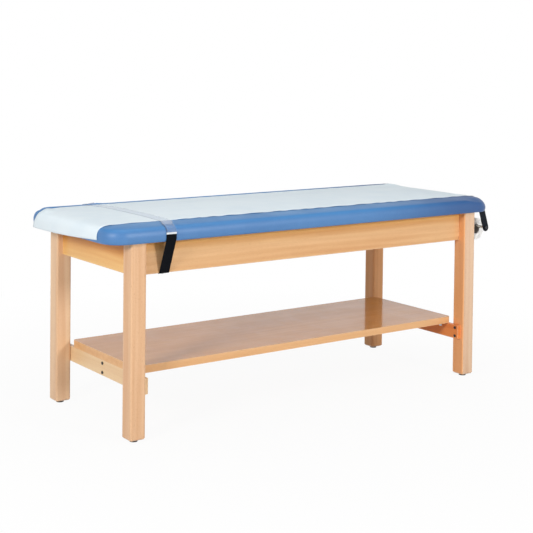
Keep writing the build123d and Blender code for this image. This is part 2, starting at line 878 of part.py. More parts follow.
nodes = {}
for end_name, end in ends:
    for side_name, side in sides:
        corner = f"{end_name}_{side_name}"
        nodes[f"leg_{corner}"] = make_leg(end, side)
        nodes[f"corner_brace_{corner}"] = make_brace(end, side)
        nodes[f"glide_{corner}"] = make_glide(end, side)
        nodes[f"glide_stem_{corner}"] = make_stem(end, side)
    nodes[f"apron_{end_name}"] = make_end_apron(end)
    nodes[f"stretcher_{end_name}"] = make_stretcher(end)
for side_name, side in sides:
    nodes[f"apron_{side_name}"] = make_long_apron(side)
    nodes[f"top_cleat_{side_name}"] = make_cleat(side)
    nodes[f"dispenser_bracket_{side_name}"] = make_bracket(side)
    nodes[f"strap_cuff_{side_name}"] = make_cuff(side)
    nodes[f"elastic_{side_name}"] = make_elastic(side)

nodes["apron_dowels"] = make_dowels()
nodes["hanger_bolts"] = make_hanger_bolts()
nodes["hanger_washers"] = make_hanger_washers()
nodes["hanger_nuts"] = make_hanger_nuts()
nodes["brace_screws"] = screws(all_corners(brace_screw_places), short_screw)
nodes["glide_inserts"] = make_glide_inserts()
nodes["centre_rail"] = make_centre_rail()
nodes["rail_barrel_nuts"] = make_barrel_nuts()
nodes["rail_bolts"] = group(
    place * socket_bolt(stretcher_thickness + rail_bolt_grip) for _, end in ends for place in rail_bolt_places(end)
)
nodes["leg_bolts"] = group(
    place * socket_bolt(stretcher_thickness + leg_bolt_grip) for place in all_corners(leg_bolt_places)
)
nodes["leg_bolt_inserts"] = group(
    ring(place, leg_insert_radius, bolt_radius + fit_gap, -stretcher_thickness - leg_insert_length, leg_insert_length)
    for place in all_corners(leg_bolt_places)
)
nodes["shelf_panel"] = make_shelf_panel()
nodes["shelf_edging"] = make_shelf_edging()
nodes["shelf_clips"] = make_shelf_clips()
nodes["shelf_clip_screws"] = screws([p for e, s in clip_places() for p in clip_screw_places(e, s)], short_screw)
nodes["top_board"] = make_top_board()
nodes["foam_pad"] = make_foam_pad()
nodes["vinyl_cover"] = make_vinyl_cover()
nodes["cleat_screws"] = screws(
    [p for _, s in sides for p in cleat_side_places(s) + cleat_top_places(s)], cleat_screw
)
nodes["exam_paper"] = make_exam_paper()
nodes["paper_web"] = make_paper_web()
nodes["paper_roll"] = make_paper_roll()
nodes["roll_core"] = make_roll_core()
nodes["dispenser_rod"] = make_rod()
nodes["rod_knob"] = make_knob()
nodes["bracket_screws"] = screws([p for _, s in sides for p in bracket_screw_places(s)], short_screw)
nodes["clear_strip"] = make_clear_strip()
nodes["anchor_washers"] = make_anchor_washers()
nodes["anchor_screws"] = screws([anchor_place(side) for _, side in sides], short_screw)

x_low = min(shape.bounding_box().min.X for shape in nodes.values())
x_high = max(shape.bounding_box().max.X for shape in nodes.values())
shift = -(x_low + x_high) / 2
print(f"{len(nodes)} nodes, moved along X by {shift:.3f}")

os.makedirs("parts", exist_ok=True)
for name, shape in nodes.items():
    export_step(Pos(shift, 0, 0) * shape, f"parts/{name}.step")
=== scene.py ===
# %% [markdown]
# A treatment table with a padded vinyl top, a sheet of exam paper and a shelf.
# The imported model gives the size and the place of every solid, so it is loaded first. Each
# later cell either gives a solid its finish or makes a softer, finer piece in its place.

# %% Load the frame
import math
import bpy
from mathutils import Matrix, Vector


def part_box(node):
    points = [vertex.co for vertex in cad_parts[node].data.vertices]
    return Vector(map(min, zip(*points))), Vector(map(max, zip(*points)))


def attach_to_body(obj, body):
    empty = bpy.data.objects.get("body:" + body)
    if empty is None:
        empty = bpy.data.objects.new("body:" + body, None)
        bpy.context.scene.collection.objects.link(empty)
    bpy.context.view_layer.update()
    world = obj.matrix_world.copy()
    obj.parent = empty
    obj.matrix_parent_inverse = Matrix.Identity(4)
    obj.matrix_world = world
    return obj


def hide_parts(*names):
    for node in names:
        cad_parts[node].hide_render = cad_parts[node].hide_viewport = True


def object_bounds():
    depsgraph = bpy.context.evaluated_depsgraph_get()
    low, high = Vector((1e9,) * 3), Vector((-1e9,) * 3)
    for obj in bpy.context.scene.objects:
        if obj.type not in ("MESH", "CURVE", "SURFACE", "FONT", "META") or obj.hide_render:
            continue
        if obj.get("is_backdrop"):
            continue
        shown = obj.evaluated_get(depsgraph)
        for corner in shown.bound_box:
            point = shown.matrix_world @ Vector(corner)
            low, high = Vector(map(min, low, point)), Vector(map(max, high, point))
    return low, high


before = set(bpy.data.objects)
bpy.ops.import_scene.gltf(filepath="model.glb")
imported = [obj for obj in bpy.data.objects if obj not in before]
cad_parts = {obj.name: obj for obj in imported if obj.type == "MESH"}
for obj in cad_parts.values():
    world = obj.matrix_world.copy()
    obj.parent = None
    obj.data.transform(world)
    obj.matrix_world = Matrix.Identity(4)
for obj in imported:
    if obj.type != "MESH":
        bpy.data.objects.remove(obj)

# %% Modules and the first measurements
from types import SimpleNamespace

import bpy
import numpy as np
from mathutils import Matrix, Vector
from mathutils.bvhtree import BVHTree

scene = bpy.context.scene
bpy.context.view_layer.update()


def in_scene(name, data):
    """A new object in the scene."""
    item = bpy.data.objects.new(name, data)
    scene.collection.objects.link(item)
    return item


# %% [markdown]
# The camera stands where the photographer stood: about five metres away, to the left of
# the front and at chest height. Its place, turn and lens were fitted to edges of the
# finished table. The optical axis is not the middle of the picture, because the picture
# was cropped, and the lens shift says by how much.

# %% Camera
picture_side, sensor_wide, furthest = 533, 36, 100
focal_pixels, axis_pixel = 1189.23, (227.902, 95.373)
camera_place = Vector((-3.01411, -3.98652, 1.39452))
camera_turn, camera_dip, camera_tilt = 0.60513, 0.03269, 0.01009

ahead = Vector((math.sin(camera_turn) * math.cos(camera_dip),
                math.cos(camera_turn) * math.cos(camera_dip), -math.sin(camera_dip)))
level = Vector((math.cos(camera_turn), -math.sin(camera_turn), 0))
upright = level.cross(ahead)
right = math.cos(camera_tilt) * level + math.sin(camera_tilt) * upright
up = math.cos(camera_tilt) * upright - math.sin(camera_tilt) * level
lens = bpy.data.cameras.new("photo_camera")
lens.sensor_width, lens.clip_end = sensor_wide, furthest
lens.lens = focal_pixels * sensor_wide / picture_side
lens.shift_x = (picture_side / 2 - axis_pixel[0]) / picture_side
lens.shift_y = (axis_pixel[1] - picture_side / 2) / picture_side
scene.camera = in_scene("photo_camera", lens)
turned = Matrix((right, up, -ahead)).transposed().to_4x4()
scene.camera.matrix_world = Matrix.Translation(camera_place) @ turned
print("lens, mm:", round(lens.lens, 2))

# %% [markdown]
# Materials and Geometry Nodes are graphs, and a graph written out in full is long. Here a
# node's output is kept as a Wire. Arithmetic with wires adds Math nodes, and every helper
# takes and gives wires, so a graph reads like a formula.

# %% Wires between nodes
class Wire:
    """One output of a node. Arithmetic with it adds Math nodes to its tree."""

    def __init__(self, socket):
        self.socket, self.tree = socket, socket.id_data

    def math(self, operation, other=0.0, clamp=False):
        return add("ShaderNodeMath", {0: self, 1: other}, operation=operation, use_clamp=clamp)

    def __add__(self, other):
        return self.math("ADD", other)

    def __sub__(self, other):
        return self.math("SUBTRACT", other)

    def __mul__(self, other):
        return self.math("MULTIPLY", other)

    def __truediv__(self, other):
        return self.math("DIVIDE", other)


def join(node, inputs):
    """Sets a node's inputs: wires are linked, and anything else is a plain value."""
    for name, value in inputs.items():
        if isinstance(value, Wire):
            node.id_data.links.new(value.socket, node.inputs[name])
        else:
            node.inputs[name].default_value = value


def add(kind, inputs=None, pick=0, tree=None, **settings):
    """One output of a new node. A wire among its inputs tells the tree, if none is given."""
    inputs = inputs or {}
    tree = tree or next(value.tree for value in inputs.values() if isinstance(value, Wire))
    node = tree.nodes.new(kind)
    for name, value in settings.items():
        setattr(node, name, value)
    join(node, inputs)
    return Wire(node.outputs[pick]) if node.outputs else node


def every_output(wire):
    """All outputs of a wire's node by name, with _ for a space."""
    named = [socket for socket in wire.socket.node.outputs if socket.name]
    return SimpleNamespace(**{socket.name.replace(" ", "_"): Wire(socket) for socket in named})


def split(vector):
    """The X, Y and Z of a vector."""
    return vars(every_output(add("ShaderNodeSeparateXYZ", {0: vector}))).values()


def vector_math(operation, first, second=(0, 0, 0), pick=0):
    return add("ShaderNodeVectorMath", {0: first, 1: second}, pick, operation=operation)


# %% Node groups
origin = (0.0, 0.0, 0.0)


def start_group(name, kind="ShaderNodeTree", **values):
    """The inputs of a new node group. Each value tells an input's type, and is its default."""
    tree = bpy.data.node_groups.new(name, kind)
    if kind == "ShaderNodeTree":
        values = {"Vector": origin, **values}
    for label, value in values.items():
        sort = {int: "Int", float: "Float"}.get(type(value)) or {3: "Vector", 4: "Color"}[len(value)]
        socket = tree.interface.new_socket(
            name=label.replace("_", " "), in_out="INPUT", socket_type="NodeSocket" + sort)
        socket.default_value = value
    return every_output(add("NodeGroupInput", tree=tree))


def end_group(**results):
    """Gives a node group its outputs, and returns its tree."""
    tree = next(iter(results.values())).tree
    for name in results:
        sort = name if name in ("Color", "Geometry") else "Float"
        tree.interface.new_socket(name=name, in_out="OUTPUT", socket_type="NodeSocket" + sort)
    join(tree.nodes.new("NodeGroupOutput"), results)
    return tree


def use_group(group, **inputs):
    """All outputs of a shader group that is given these inputs."""
    return every_output(add("ShaderNodeGroup", inputs, node_tree=group))


# %% [markdown]
# The next helpers are the few shader nodes that come back in every material. Colours are
# given by the usual 0 to 255 numbers and converted, because Blender works with linear light.

# %% Colours, ranges and patterns
white, black = (1.0, 1.0, 1.0, 1.0), (0.0, 0.0, 0.0, 1.0)


def linear(red, green, blue):
    """A colour given as in a picture program, as linear light."""
    shares = [value / 255 for value in (red, green, blue)]
    return tuple(s / 12.92 if s <= 0.04045 else ((s + 0.055) / 1.055) ** 2.4 for s in shares) + (1.0,)


def spread(value, low, high, to_low=0.0, to_high=1.0):
    """A value moved smoothly from one range to another."""
    ranges = {"Value": value, "From Min": low, "From Max": high, "To Min": to_low, "To Max": to_high}
    return add("ShaderNodeMapRange", ranges, "Result", interpolation_type="SMOOTHSTEP")


def blend(share, first, second, way="MIX"):
    """A mix of two colours."""
    return add("ShaderNodeMix", {0: share, 6: first, 7: second}, 2, data_type="RGBA", blend_type=way)


def tinted(colour, tint, share):
    """A colour multiplied by a tint, as far as the share says."""
    return blend(share, colour, blend(1.0, colour, tint, "MULTIPLY"))


def noise(vector, scale, detail=2.0, rough=0.5, bend=0.0):
    """Noise of one scale, or of three for the three axes."""
    if isinstance(scale, tuple):
        vector, scale = vector_math("MULTIPLY", vector, scale), 1.0
    inputs = {"Vector": vector, "Scale": scale, "Detail": detail, "Roughness": rough, "Distortion": bend}
    return add("ShaderNodeTexNoise", inputs, "Fac")


def cells(vector, scale):
    """The distance to the middle of the nearest cell."""
    return add("ShaderNodeTexVoronoi", {"Vector": vector, "Scale": scale}, "Distance")


# %% [markdown]
# The room is a photographer's white sweep: a pale floor, soft lamps at the front right and
# at the foot end, a wide one overhead, and a little light from all round. What the camera
# sees of the floor is mostly its own even white, found with the Light Path node, so it stays
# white without more light on the table. Near the table some real shade is left in it. A
# gloss sees the ceiling darker than the walls, as the photograph's reflections do.

# %% Floor
floor_white, floor_reach, floor_level = linear(214, 212, 210), 30.0, -0.0005
shade_share, shade_from, shade_to = 0.06, 0.5, 2.4


def cleared(holder):
    """The empty node tree of a new material or world."""
    holder.use_nodes = True
    holder.node_tree.nodes.clear()
    return holder.node_tree


def seen_rays(tree):
    """One for rays from the camera and for those that a gloss or a clear film sends on."""
    path = every_output(add("ShaderNodeLightPath", tree=tree))
    seen = path.Is_Camera_Ray.math("MAXIMUM", path.Is_Glossy_Ray)
    return seen.math("MAXIMUM", path.Is_Transmission_Ray)


material = bpy.data.materials.new("studio_floor")
tree = cleared(material)
shade = add("ShaderNodeBsdfDiffuse", {"Color": floor_white}, tree=tree)
light = add("ShaderNodeEmission", {"Color": white, "Strength": 1.0}, tree=tree)
away = vector_math("LENGTH", add("ShaderNodeTexCoord", pick="Object", tree=tree), pick="Value")
share = spread(away, shade_from, shade_to, shade_share, 0.0)
soft = add("ShaderNodeMixShader", {0: share, 1: light, 2: shade})
shown = add("ShaderNodeMixShader", {0: seen_rays(tree), 1: shade, 2: soft})
add("ShaderNodeOutputMaterial", {"Surface": shown})
mesh = bpy.data.meshes.new("studio_floor")
square = [(x * floor_reach, y * floor_reach, floor_level) for x, y in ((-1, -1), (1, -1), (1, 1), (-1, 1))]
mesh.from_pydata(square, [], [(0, 1, 2, 3)])
mesh.materials.append(material)
in_scene("studio_floor", mesh)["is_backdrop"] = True

# %% Surroundings
surround_level, ceiling_level, ceiling_from, ceiling_to = 0.37, 0.15, 0.25, 0.75
scene.world = bpy.data.worlds.new("studio_surroundings")
tree = cleared(scene.world)
_, _, up = split(add("ShaderNodeTexCoord", pick="Generated", tree=tree))
mirrored = spread(up, ceiling_from, ceiling_to, 1.0, ceiling_level)
seen = mirrored.math("MAXIMUM", add("ShaderNodeLightPath", pick="Is Camera Ray", tree=tree))
strength = spread(seen_rays(tree), 0, 1, surround_level, seen)
light = add("ShaderNodeBackground", {"Color": white, "Strength": strength})
add("ShaderNodeOutputWorld", {"Surface": light})

# %% Lamps
table_middle = Vector((0, 0, 0.5))
# Place, side of the square in metres, and watts
lamps = {
    "front_lamp": (Vector((1.0, -4.5, 1.9)), 0.9, 99),
    "side_lamp": (Vector((-4.4, -1.8, 2.15)), 0.9, 110),
    "top_lamp": (Vector((0, 0, 4.2)), 3.0, 46),
}


def make_lamp(name, place, size, watts):
    lamp = bpy.data.lights.new(name, "AREA")
    lamp.shape, lamp.size, lamp.energy = "SQUARE", size, watts
    holder = in_scene(name, lamp)
    holder.location = place
    holder.rotation_mode = "QUATERNION"
    holder.rotation_quaternion = (table_middle - place).to_track_quat("-Z", "Y")


for name, (place, size, watts) in lamps.items():
    make_lamp(name, place, size, watts)
scene.view_settings.view_transform = "Standard"
print(len(lamps), "lamps,", sum(watts for _, _, watts in lamps.values()), "watts")

# %% [markdown]
# The frame is beech. Planed beech is pale and even, with faint streaks along the grain and
# countless short darker flecks. A group of nodes paints that figure along its own Z axis.
# Each board turns and moves the coordinates before they enter the group, so no two boards
# are cut from the same place, and the grain of each one runs along its length.

# %% Beech figure
fleck_brown = linear(158, 104, 66)
given = start_group("beech_figure", Pale=white, Dark=black, Streaks=0.5, Flecks=0.5)
place = given.Vector
streak = noise(place, (34, 34, 1.3), 5, 0.62, 0.5)
bands = {"Vector": vector_math("MULTIPLY", place, (7, 9, 0.5)), "Scale": 1.6, "Distortion": 7.0,
         "Detail": 3.0, "Detail Scale": 0.8}
rings = add("ShaderNodeTexWave", bands, "Fac", wave_type="BANDS", bands_direction="X")
fleck = noise(place, (850, 850, 150), 1)
fibre = noise(place, (1900, 1900, 40), 2, 0.6)
cloud = noise(place, (5, 5, 1.2))
figure = spread(streak, 0.32, 0.70) * 0.52 + rings * 0.28 + spread(cloud, 0.35, 0.65) * 0.20
wood = blend(figure.math("MULTIPLY", given.Streaks, clamp=True), given.Pale, given.Dark)
mark = spread(fleck, 0.60, 0.74) * given.Flecks
beech_figure = end_group(Color=blend(mark, wood, fleck_brown), Roughness=spread(fibre, 0.3, 0.7, 0.30, 0.42),
                         Height=fibre * 0.5 - mark)

# %% [markdown]
# Hands and knees rub a board's edges first, so the varnish is thinner and smoother there. The edges are also
# painted a little paler, a painted highlight along the rounded edges together with that wear. The group
# below finds the edges of a box-shaped board from
# its two opposite corners: a point is near an edge when it is near two faces at once.

# %% Edge sheen and wear
given = start_group("rubbed_edges", Low=origin, High=(1, 1, 1), Width=0.006)
from_low = vector_math("SUBTRACT", given.Vector, given.Low)
from_high = vector_math("SUBTRACT", given.High, given.Vector)
x, y, z = split(vector_math("MINIMUM", from_low, from_high))
one, two, three = (a.math("MAXIMUM", b) for a, b in ((x, y), (y, z), (x, z)))
nearest = one.math("MINIMUM", two).math("MINIMUM", three)
uneven = spread(noise(given.Vector, 60, 3, 0.6), 0.3, 0.75, 0.4, 1.0)
rubbed_edges = end_group(Mask=spread(nearest / given.Width, 0.0, 1.0, 1.0, 0.0) * uneven)

# %% Finishes shared by every material
def start_material(name):
    """A new material, its main shader and coordinates fixed to the object."""
    material = bpy.data.materials.new(name)
    shader = add("ShaderNodeBsdfPrincipled", tree=cleared(material))
    add("ShaderNodeOutputMaterial", {"Surface": shader})
    return material, shader.socket.node, add("ShaderNodeTexCoord", pick="Object", tree=shader.tree)


def feed(shader, made, depth, **plain):
    """Joins a finish to the shader. Its height becomes a bump of the given depth in metres."""
    bump = add("ShaderNodeBump", {"Height": made.Height, "Strength": 1.0, "Distance": depth})
    named = {name.replace("_", " "): value for name, value in plain.items()}
    join(shader, {"Base Color": made.Color, "Roughness": made.Roughness, "Normal": bump, **named})


def group_finish(name, group, depth, **values):
    """A material led by one group. A value that isn't an input of the group is the shader's."""
    material, shader, place = start_material(name)
    labels = [item.name for item in group.interface.items_tree]
    own = {label: values.pop(label) for label in labels if label in values}
    feed(shader, use_group(group, Vector=place, **own), depth, **values)
    return material


def facing(place):
    """The X, Y and Z of the surface's direction."""
    return split(add("ShaderNodeTexCoord", pick="Normal", tree=place.tree))


def dress(node, material):
    """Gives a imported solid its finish, and leaves its mesh alone."""
    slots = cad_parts[node].material_slots
    if not slots:
        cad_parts[node].data.materials.append(material)
    for place in slots:
        place.material = material


# %% Parts of every wood finish
quarter = math.pi / 2
along_x, along_y, along_z = (0, quarter, 0), (quarter, 0, 0), (0, 0, 0)


def figured(place, cut, grain, pale, dark, streaks, flecks):
    """The beech figure at its own cut of the tree, turned to run along a board's grain."""
    turned = add("ShaderNodeMapping", {"Vector": place, "Location": cut, "Rotation": grain})
    return use_group(beech_figure, Vector=turned, Pale=linear(*pale), Dark=linear(*dark),
                     Streaks=streaks, Flecks=flecks)


def edge_mask(place, node, width):
    low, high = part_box(node)
    return use_group(rubbed_edges, Vector=place, Low=low, High=high, Width=width).Mask


# %% Beech boards
# A tint of painted shade for the two faces across X of one leg, which lie in shade under the top
plain_side, side_shade_tint = white, (1.2, 0.87, 0.56, 1.0)
# The aprons' tops get painted shade under the cushion's overhang: tint, then heights
long_apron_shade = ((0.98, 0.79, 0.45, 1.0), 0.664, 0.713)
end_apron_shade = ((0.80, 0.54, 0.17, 1.0), 0.642, 0.684)
apron_top_shade = {"apron_front": long_apron_shade, "apron_back": long_apron_shade, "apron_foot": end_apron_shade, "apron_head": end_apron_shade}
edge_sheen_and_wear_pale, edge_width, edge_share, edge_smooth = linear(243, 212, 176), 0.006, 0.35, 0.08
cut_step = (0.37, 0.21, 1.9)
apron_shades, rail_shades = ((230, 186, 136), (209, 151, 98)), ((242, 196, 126), (224, 160, 86))

beech_boards = {
    "leg_foot_front": (along_z, (230, 190, 151), (207, 153, 108)),
    "leg_foot_back": (along_z, (240, 208, 171), (222, 174, 132)),
    "leg_head_front": (along_z, (228, 196, 166), (210, 165, 128)),
    # A deeper, more saturated beech here is painted shade
    "leg_head_back": (along_z, (240, 184, 128), (216, 150, 92)),
    "apron_front": (along_x, *apron_shades), "apron_back": (along_x, *apron_shades),
    "apron_foot": (along_y, *rail_shades), "apron_head": (along_y, *apron_shades),
    "stretcher_foot": (along_y, (240, 208, 164), (222, 178, 130)),
    # A deeper, more saturated beech here is painted shade
    "stretcher_head": (along_y, (240, 148, 74), (218, 114, 48)),
    "centre_rail": (along_x, *rail_shades),
    "top_cleat_front": (along_x, *rail_shades), "top_cleat_back": (along_x, *rail_shades),
}


def beech_finish(node, grain, pale, dark, number, side):
    """The finish of one board. Its number moves it to its own place in the tree."""
    material, shader, place = start_material("beech_" + node)
    made = figured(place, [number * step for step in cut_step], grain, pale, dark, 0.8, 0.30)
    edges = edge_mask(place, node, edge_width)
    # Painted highlight, with wear, along the board's edges
    colour = blend(edges * edge_share, made.Color, edge_sheen_and_wear_pale)
    # Painted shade on the faces across X, where the side tint isn't white
    across, _, _ = facing(place)
    made.Color = tinted(colour, side, spread(across.math("ABSOLUTE"), 0.35, 0.85))
    # Painted shade at the top of the apron, under the cushion
    if node in apron_top_shade:
        tint, start, end = apron_top_shade[node]
        _, _, height = split(place)
        made.Color = tinted(made.Color, tint, spread(height, start, end))
    made.Roughness -= edges * edge_smooth
    feed(shader, made, 0.00006, Coat_Weight=0.22, Coat_Roughness=0.22, Specular_IOR_Level=0.25)
    return material


for number, (node, looks) in enumerate(beech_boards.items(), 1):
    side = side_shade_tint if node == "leg_head_front" else plain_side
    dress(node, beech_finish(node, *looks, number, side))
print(len(beech_boards), "beech boards finished")

# %% [markdown]
# The shelf is veneered board under a hard, glossy varnish, with a strip of solid wood glued
# round it. The varnish mirrors the white room at a flat angle, which is why the shelf looks
# greyer than its own edge. A clear coat over the wood colour gives exactly that.

# %% Shelf
def shelf_finish(name, node, pale, dark, gloss):
    material, shader, place = start_material(name)
    made = figured(place, (0.11, 0.53, 0.07), along_x, pale, dark, 0.7, 0.25)
    # Painted highlight, with wear, along the shelf's edges
    made.Color = blend(edge_mask(place, node, 0.004) * 0.25, made.Color, linear(240, 206, 164))
    made.Roughness = spread(noise(place, 9, 3, 0.6), 0.3, 0.7, 0.34, 0.46)
    feed(shader, made, 0.00001, Coat_Weight=gloss, Coat_Roughness=0.09, Coat_IOR=1.5,
         Specular_IOR_Level=0.05)
    dress(node, material)


shelf_finish("shelf_veneer", "shelf_panel", (216, 152, 82), (198, 132, 64), 0.75)
shelf_finish("shelf_lipping", "shelf_edging", (232, 184, 134), (214, 158, 104), 0.4)

# %% [markdown]
# The top board is plywood, and only its underside and a little of its edge are ever seen.
# The dowels are plain beech. Both reuse the beech figure with their own colours.

# %% Board and dowels
def plain_wood(name, node, pale, dark):
    material, shader, place = start_material(name)
    made = figured(place, (0.7, 0.2, 3.1), along_x, pale, dark, 1.0, 0.2)
    made.Roughness += 0.25
    feed(shader, made, 0.00015)
    dress(node, material)


plain_wood("plywood", "top_board", (214, 184, 142), (176, 138, 94))
plain_wood("dowel_wood", "apron_dowels", (226, 194, 152), (196, 156, 110))

# %% [markdown]
# Metal never looks like one flat grey. Zinc plate has a faint blotchy bloom, a steel rod is
# finely scuffed, and powder coat has a soft orange-peel surface. One group gives these: a
# blotch for the colour, a scuff for the roughness and a fine surface height.

# %% Metal, plastic and card
given = start_group("worked_surface", Base=white, Bloom=white, Low=0.25, High=0.45, Peel=900.0)
blotch = spread(noise(given.Vector, 55, 4, 0.65), 0.35, 0.7)
scuff = spread(noise(given.Vector, (420, 420, 60), 3, 0.6), 0.3, 0.7)
worked_surface = end_group(Color=blend(blotch, given.Base, given.Bloom),
                           Roughness=scuff * (given.High - given.Low) + given.Low,
                           Height=noise(given.Vector, given.Peel, 1))


def hard_finish(name, base, bloom, low, high, metal, peel=900.0, depth=0.00002, **plain):
    return group_finish(name, worked_surface, depth, Base=linear(*base), Bloom=linear(*bloom),
                        Low=low, High=high, Peel=peel, Metallic=metal, **plain)


zinc = hard_finish("zinc_plate", (186, 190, 194), (204, 206, 204), 0.25, 0.45, 1.0)
bright_rod = hard_finish("bright_rod", (206, 204, 198), (222, 218, 208), 0.12, 0.26, 1.0)
black_coat = hard_finish("black_powder_coat", (10, 16, 26), (16, 22, 32), 0.42, 0.56, 0.0, 1400.0,
                         0.00008, Specular_IOR_Level=0.12)
dark_cap = hard_finish("dark_cap", (30, 32, 40), (48, 50, 56), 0.35, 0.50, 0.0)
black_bolt = hard_finish("black_bolt", (20, 20, 22), (36, 34, 34), 0.30, 0.50, 0.0)
brass = hard_finish("brass", (196, 160, 88), (176, 140, 76), 0.22, 0.40, 1.0)
black_plastic = hard_finish("black_plastic", (22, 22, 24), (32, 32, 34), 0.42, 0.60, 0.0, 1800.0, 0.00006)
grey_card = hard_finish("grey_card", (150, 152, 155), (172, 172, 170), 0.75, 0.9, 0.0, 700.0, 0.0001)

corners = ("foot_front", "foot_back", "head_front", "head_back")
hard_pieces = {
    zinc: ["corner_brace_" + corner for corner in corners] + [
        "hanger_bolts", "hanger_washers", "hanger_nuts", "brace_screws", "rail_barrel_nuts",
        "cleat_screws", "shelf_clips", "shelf_clip_screws", "bracket_screws", "anchor_washers",
        "anchor_screws"],
    bright_rod: ["dispenser_rod"],
    dark_cap: ["rod_knob"],
    black_coat: ["dispenser_bracket_front", "dispenser_bracket_back"],
    black_bolt: ["leg_bolts", "rail_bolts"],
    brass: ["leg_bolt_inserts", "glide_inserts"],
    black_plastic: ["glide_" + corner for corner in corners],
    grey_card: ["roll_core"],
}
for material, nodes in hard_pieces.items():
    for node in nodes:
        dress(node, material)
print(sum(len(nodes) for nodes in hard_pieces.values()), "hard nodes finished")

# %% [markdown]
# The soft top is drawn with one curve: its side profile, from the bottom edge up round the
# shoulder and in over the crown. The same curve serves the vinyl, the foam, the paper and
# the strap, each a little further out, so that they lie on one another like real layers.

# %% Profile of the soft top
mm = 0.001
half_long, half_wide, corner_round = 965 * mm, 343 * mm, 80 * mm
middle_x, board_under = -23.15 * mm, 722 * mm
rim_inset, widest_rise = 24 * mm, 14.4 * mm
# Inset from the outermost line, then rise above the bottom edge, in millimetres
profile_marks = [
    (4.0, 0.0), (1.2, 6.5), (0.0, 14.4), (0.0, 31.4), (1.9, 39.2), (6.5, 47.7), (13.4, 53.6),
    (24.0, 57.6), (52.3, 60.4), (99.5, 61.8), (149.1, 63.4), (201.0, 64.6), (260.0, 65.4)]


def smooth_through(marks, steps):
    """A smooth curve through marks: the rule of a spline that passes each one in turn."""
    points = [Vector(mark) for mark in marks]
    points = [2 * points[0] - points[1], *points, 2 * points[-1] - points[-2]]
    curve = []
    for a, b, c, d in zip(points, points[1:], points[2:], points[3:]):
        before, span, after = max((b - a).length, 1e-6), (c - b).length, max((d - c).length, 1e-6)
        leave = (c - b) * (before / (before + span)) + (b - a) * (span * span / before / (before + span))
        arrive = (c - b) * (after / (after + span)) + (d - c) * (span * span / after / (after + span))
        for t in (step / steps for step in range(steps)):
            curve.append((2 * t**3 - 3 * t**2 + 1) * b + (t**3 - 2 * t**2 + t) * leave
                         + (3 * t**2 - 2 * t**3) * c + (t**3 - t**2) * arrive)
    return curve + [points[-2]]


profile_line = np.array([tuple(p) for p in smooth_through(profile_marks, 12)]) * mm
profile_run = np.concatenate([[0], np.cumsum(np.hypot(*np.diff(profile_line, axis=0).T))])
crest = int(np.argmin(profile_line[:, 0]))
print("profile of the top:", len(profile_line), "points,", round(profile_run[-1] / mm), "mm long")

# %% [markdown]
# Use has changed the form a little. The back shoulder stands fuller, most of all beside the
# strap, and the shoulder of the two head corners is worn round. Each change is eased in and
# out between two places, so that it leaves no edge.

# %% Height of the crown
back_fullness, strap_gather, gather_spot, gather_reach = 7.5 * mm, 4.0 * mm, -680 * mm, 24 * mm
full_outside, full_inside, full_back = (20 * mm, 37 * mm), (60 * mm, 39 * mm), (0.19, 0.27)
corner_worn, worn_head, worn_front, worn_back = 12 * mm, (0.80, 0.91), (0.25, 0.32), (0.295, 0.33)
worn_rise, worn_inset = (5 * mm, 34 * mm), (58 * mm, 12 * mm)
ridge_soft = 60 * mm


def eased(value, start, end):
    """A smooth step from zero at the start to one at the end."""
    share = min(max((value - start) / (end - start), 0), 1)
    return share * share * (3 - 2 * share)


def inset_at(x, y):
    """How far a plan point lies inside the outermost line, with the ridges rounded off."""
    out_x, out_y = abs(x) - (half_long - corner_round), abs(y) - (half_wide - corner_round)
    if out_x > 0 or out_y > 0:
        return corner_round - math.hypot(max(out_x, 0), max(out_y, 0))
    nearest = min(-out_x, -out_y)
    soft = max(min(ridge_soft, nearest), 1e-6)
    overlap = max(soft - abs(out_x - out_y), 0)
    return corner_round + nearest - overlap * overlap / (4 * soft)


def corner_fall(x, y, inset, rise):
    """How far the soft top sinks at a plan point near one of the two head corners."""
    beyond_paper = eased(-y, *worn_front) + eased(y, *worn_back)
    shoulder = eased(rise, *worn_rise) * eased(inset, *worn_inset)
    return corner_worn * eased(x, *worn_head) * beyond_paper * shoulder


def crown_rise(x, y):
    """Rise of the soft top at a plan point that is inside its rim."""
    inset = inset_at(x, y)
    flat = float(np.interp(inset, profile_line[crest:, 0], profile_line[crest:, 1]))
    full = back_fullness + strap_gather * math.exp(-((x - gather_spot) / gather_reach) ** 2)
    fuller = full * eased(inset, *full_outside) * eased(inset, *full_inside) * eased(y, *full_back)
    return flat + fuller - corner_fall(x, y, inset, flat)


print("crown above the board, mm:", round(crown_rise(0, 0) / mm, 1))

# %% [markdown]
# A plan grid covers the crown. Near a corner its squares are bent so that the outer lines
# follow the round of the corner, with no pinched point anywhere. The walls are then hung
# from the grid's outer line, level by level, and turned in under the board as a hem.

# %% Plan grid with round corners
rim_x, rim_y, rim_round = half_long - rim_inset, half_wide - rim_inset, corner_round - rim_inset
straight_x, straight_y = rim_x - rim_round, rim_y - rim_round


def grid_lines(straight, half, step):
    """Places of the grid lines along one side, with a whole number of squares in each corner."""
    middle = np.linspace(-straight, straight, round(2 * straight / step) + 1)
    corner = np.linspace(straight, half, max(2, round(rim_round / step)) + 1)[1:]
    return np.concatenate([-corner[::-1], middle, corner])


def rounded(x, y):
    """A point of the square grid moved so that the corner squares fill a round corner."""
    u, v = (abs(x) - straight_x) / rim_round, (abs(y) - straight_y) / rim_round
    if u > 0 and v > 0:
        u, v = u * math.sqrt(1 - v * v / 2), v * math.sqrt(1 - u * u / 2)
        return math.copysign(straight_x + u * rim_round, x), math.copysign(straight_y + v * rim_round, y)
    return x, y


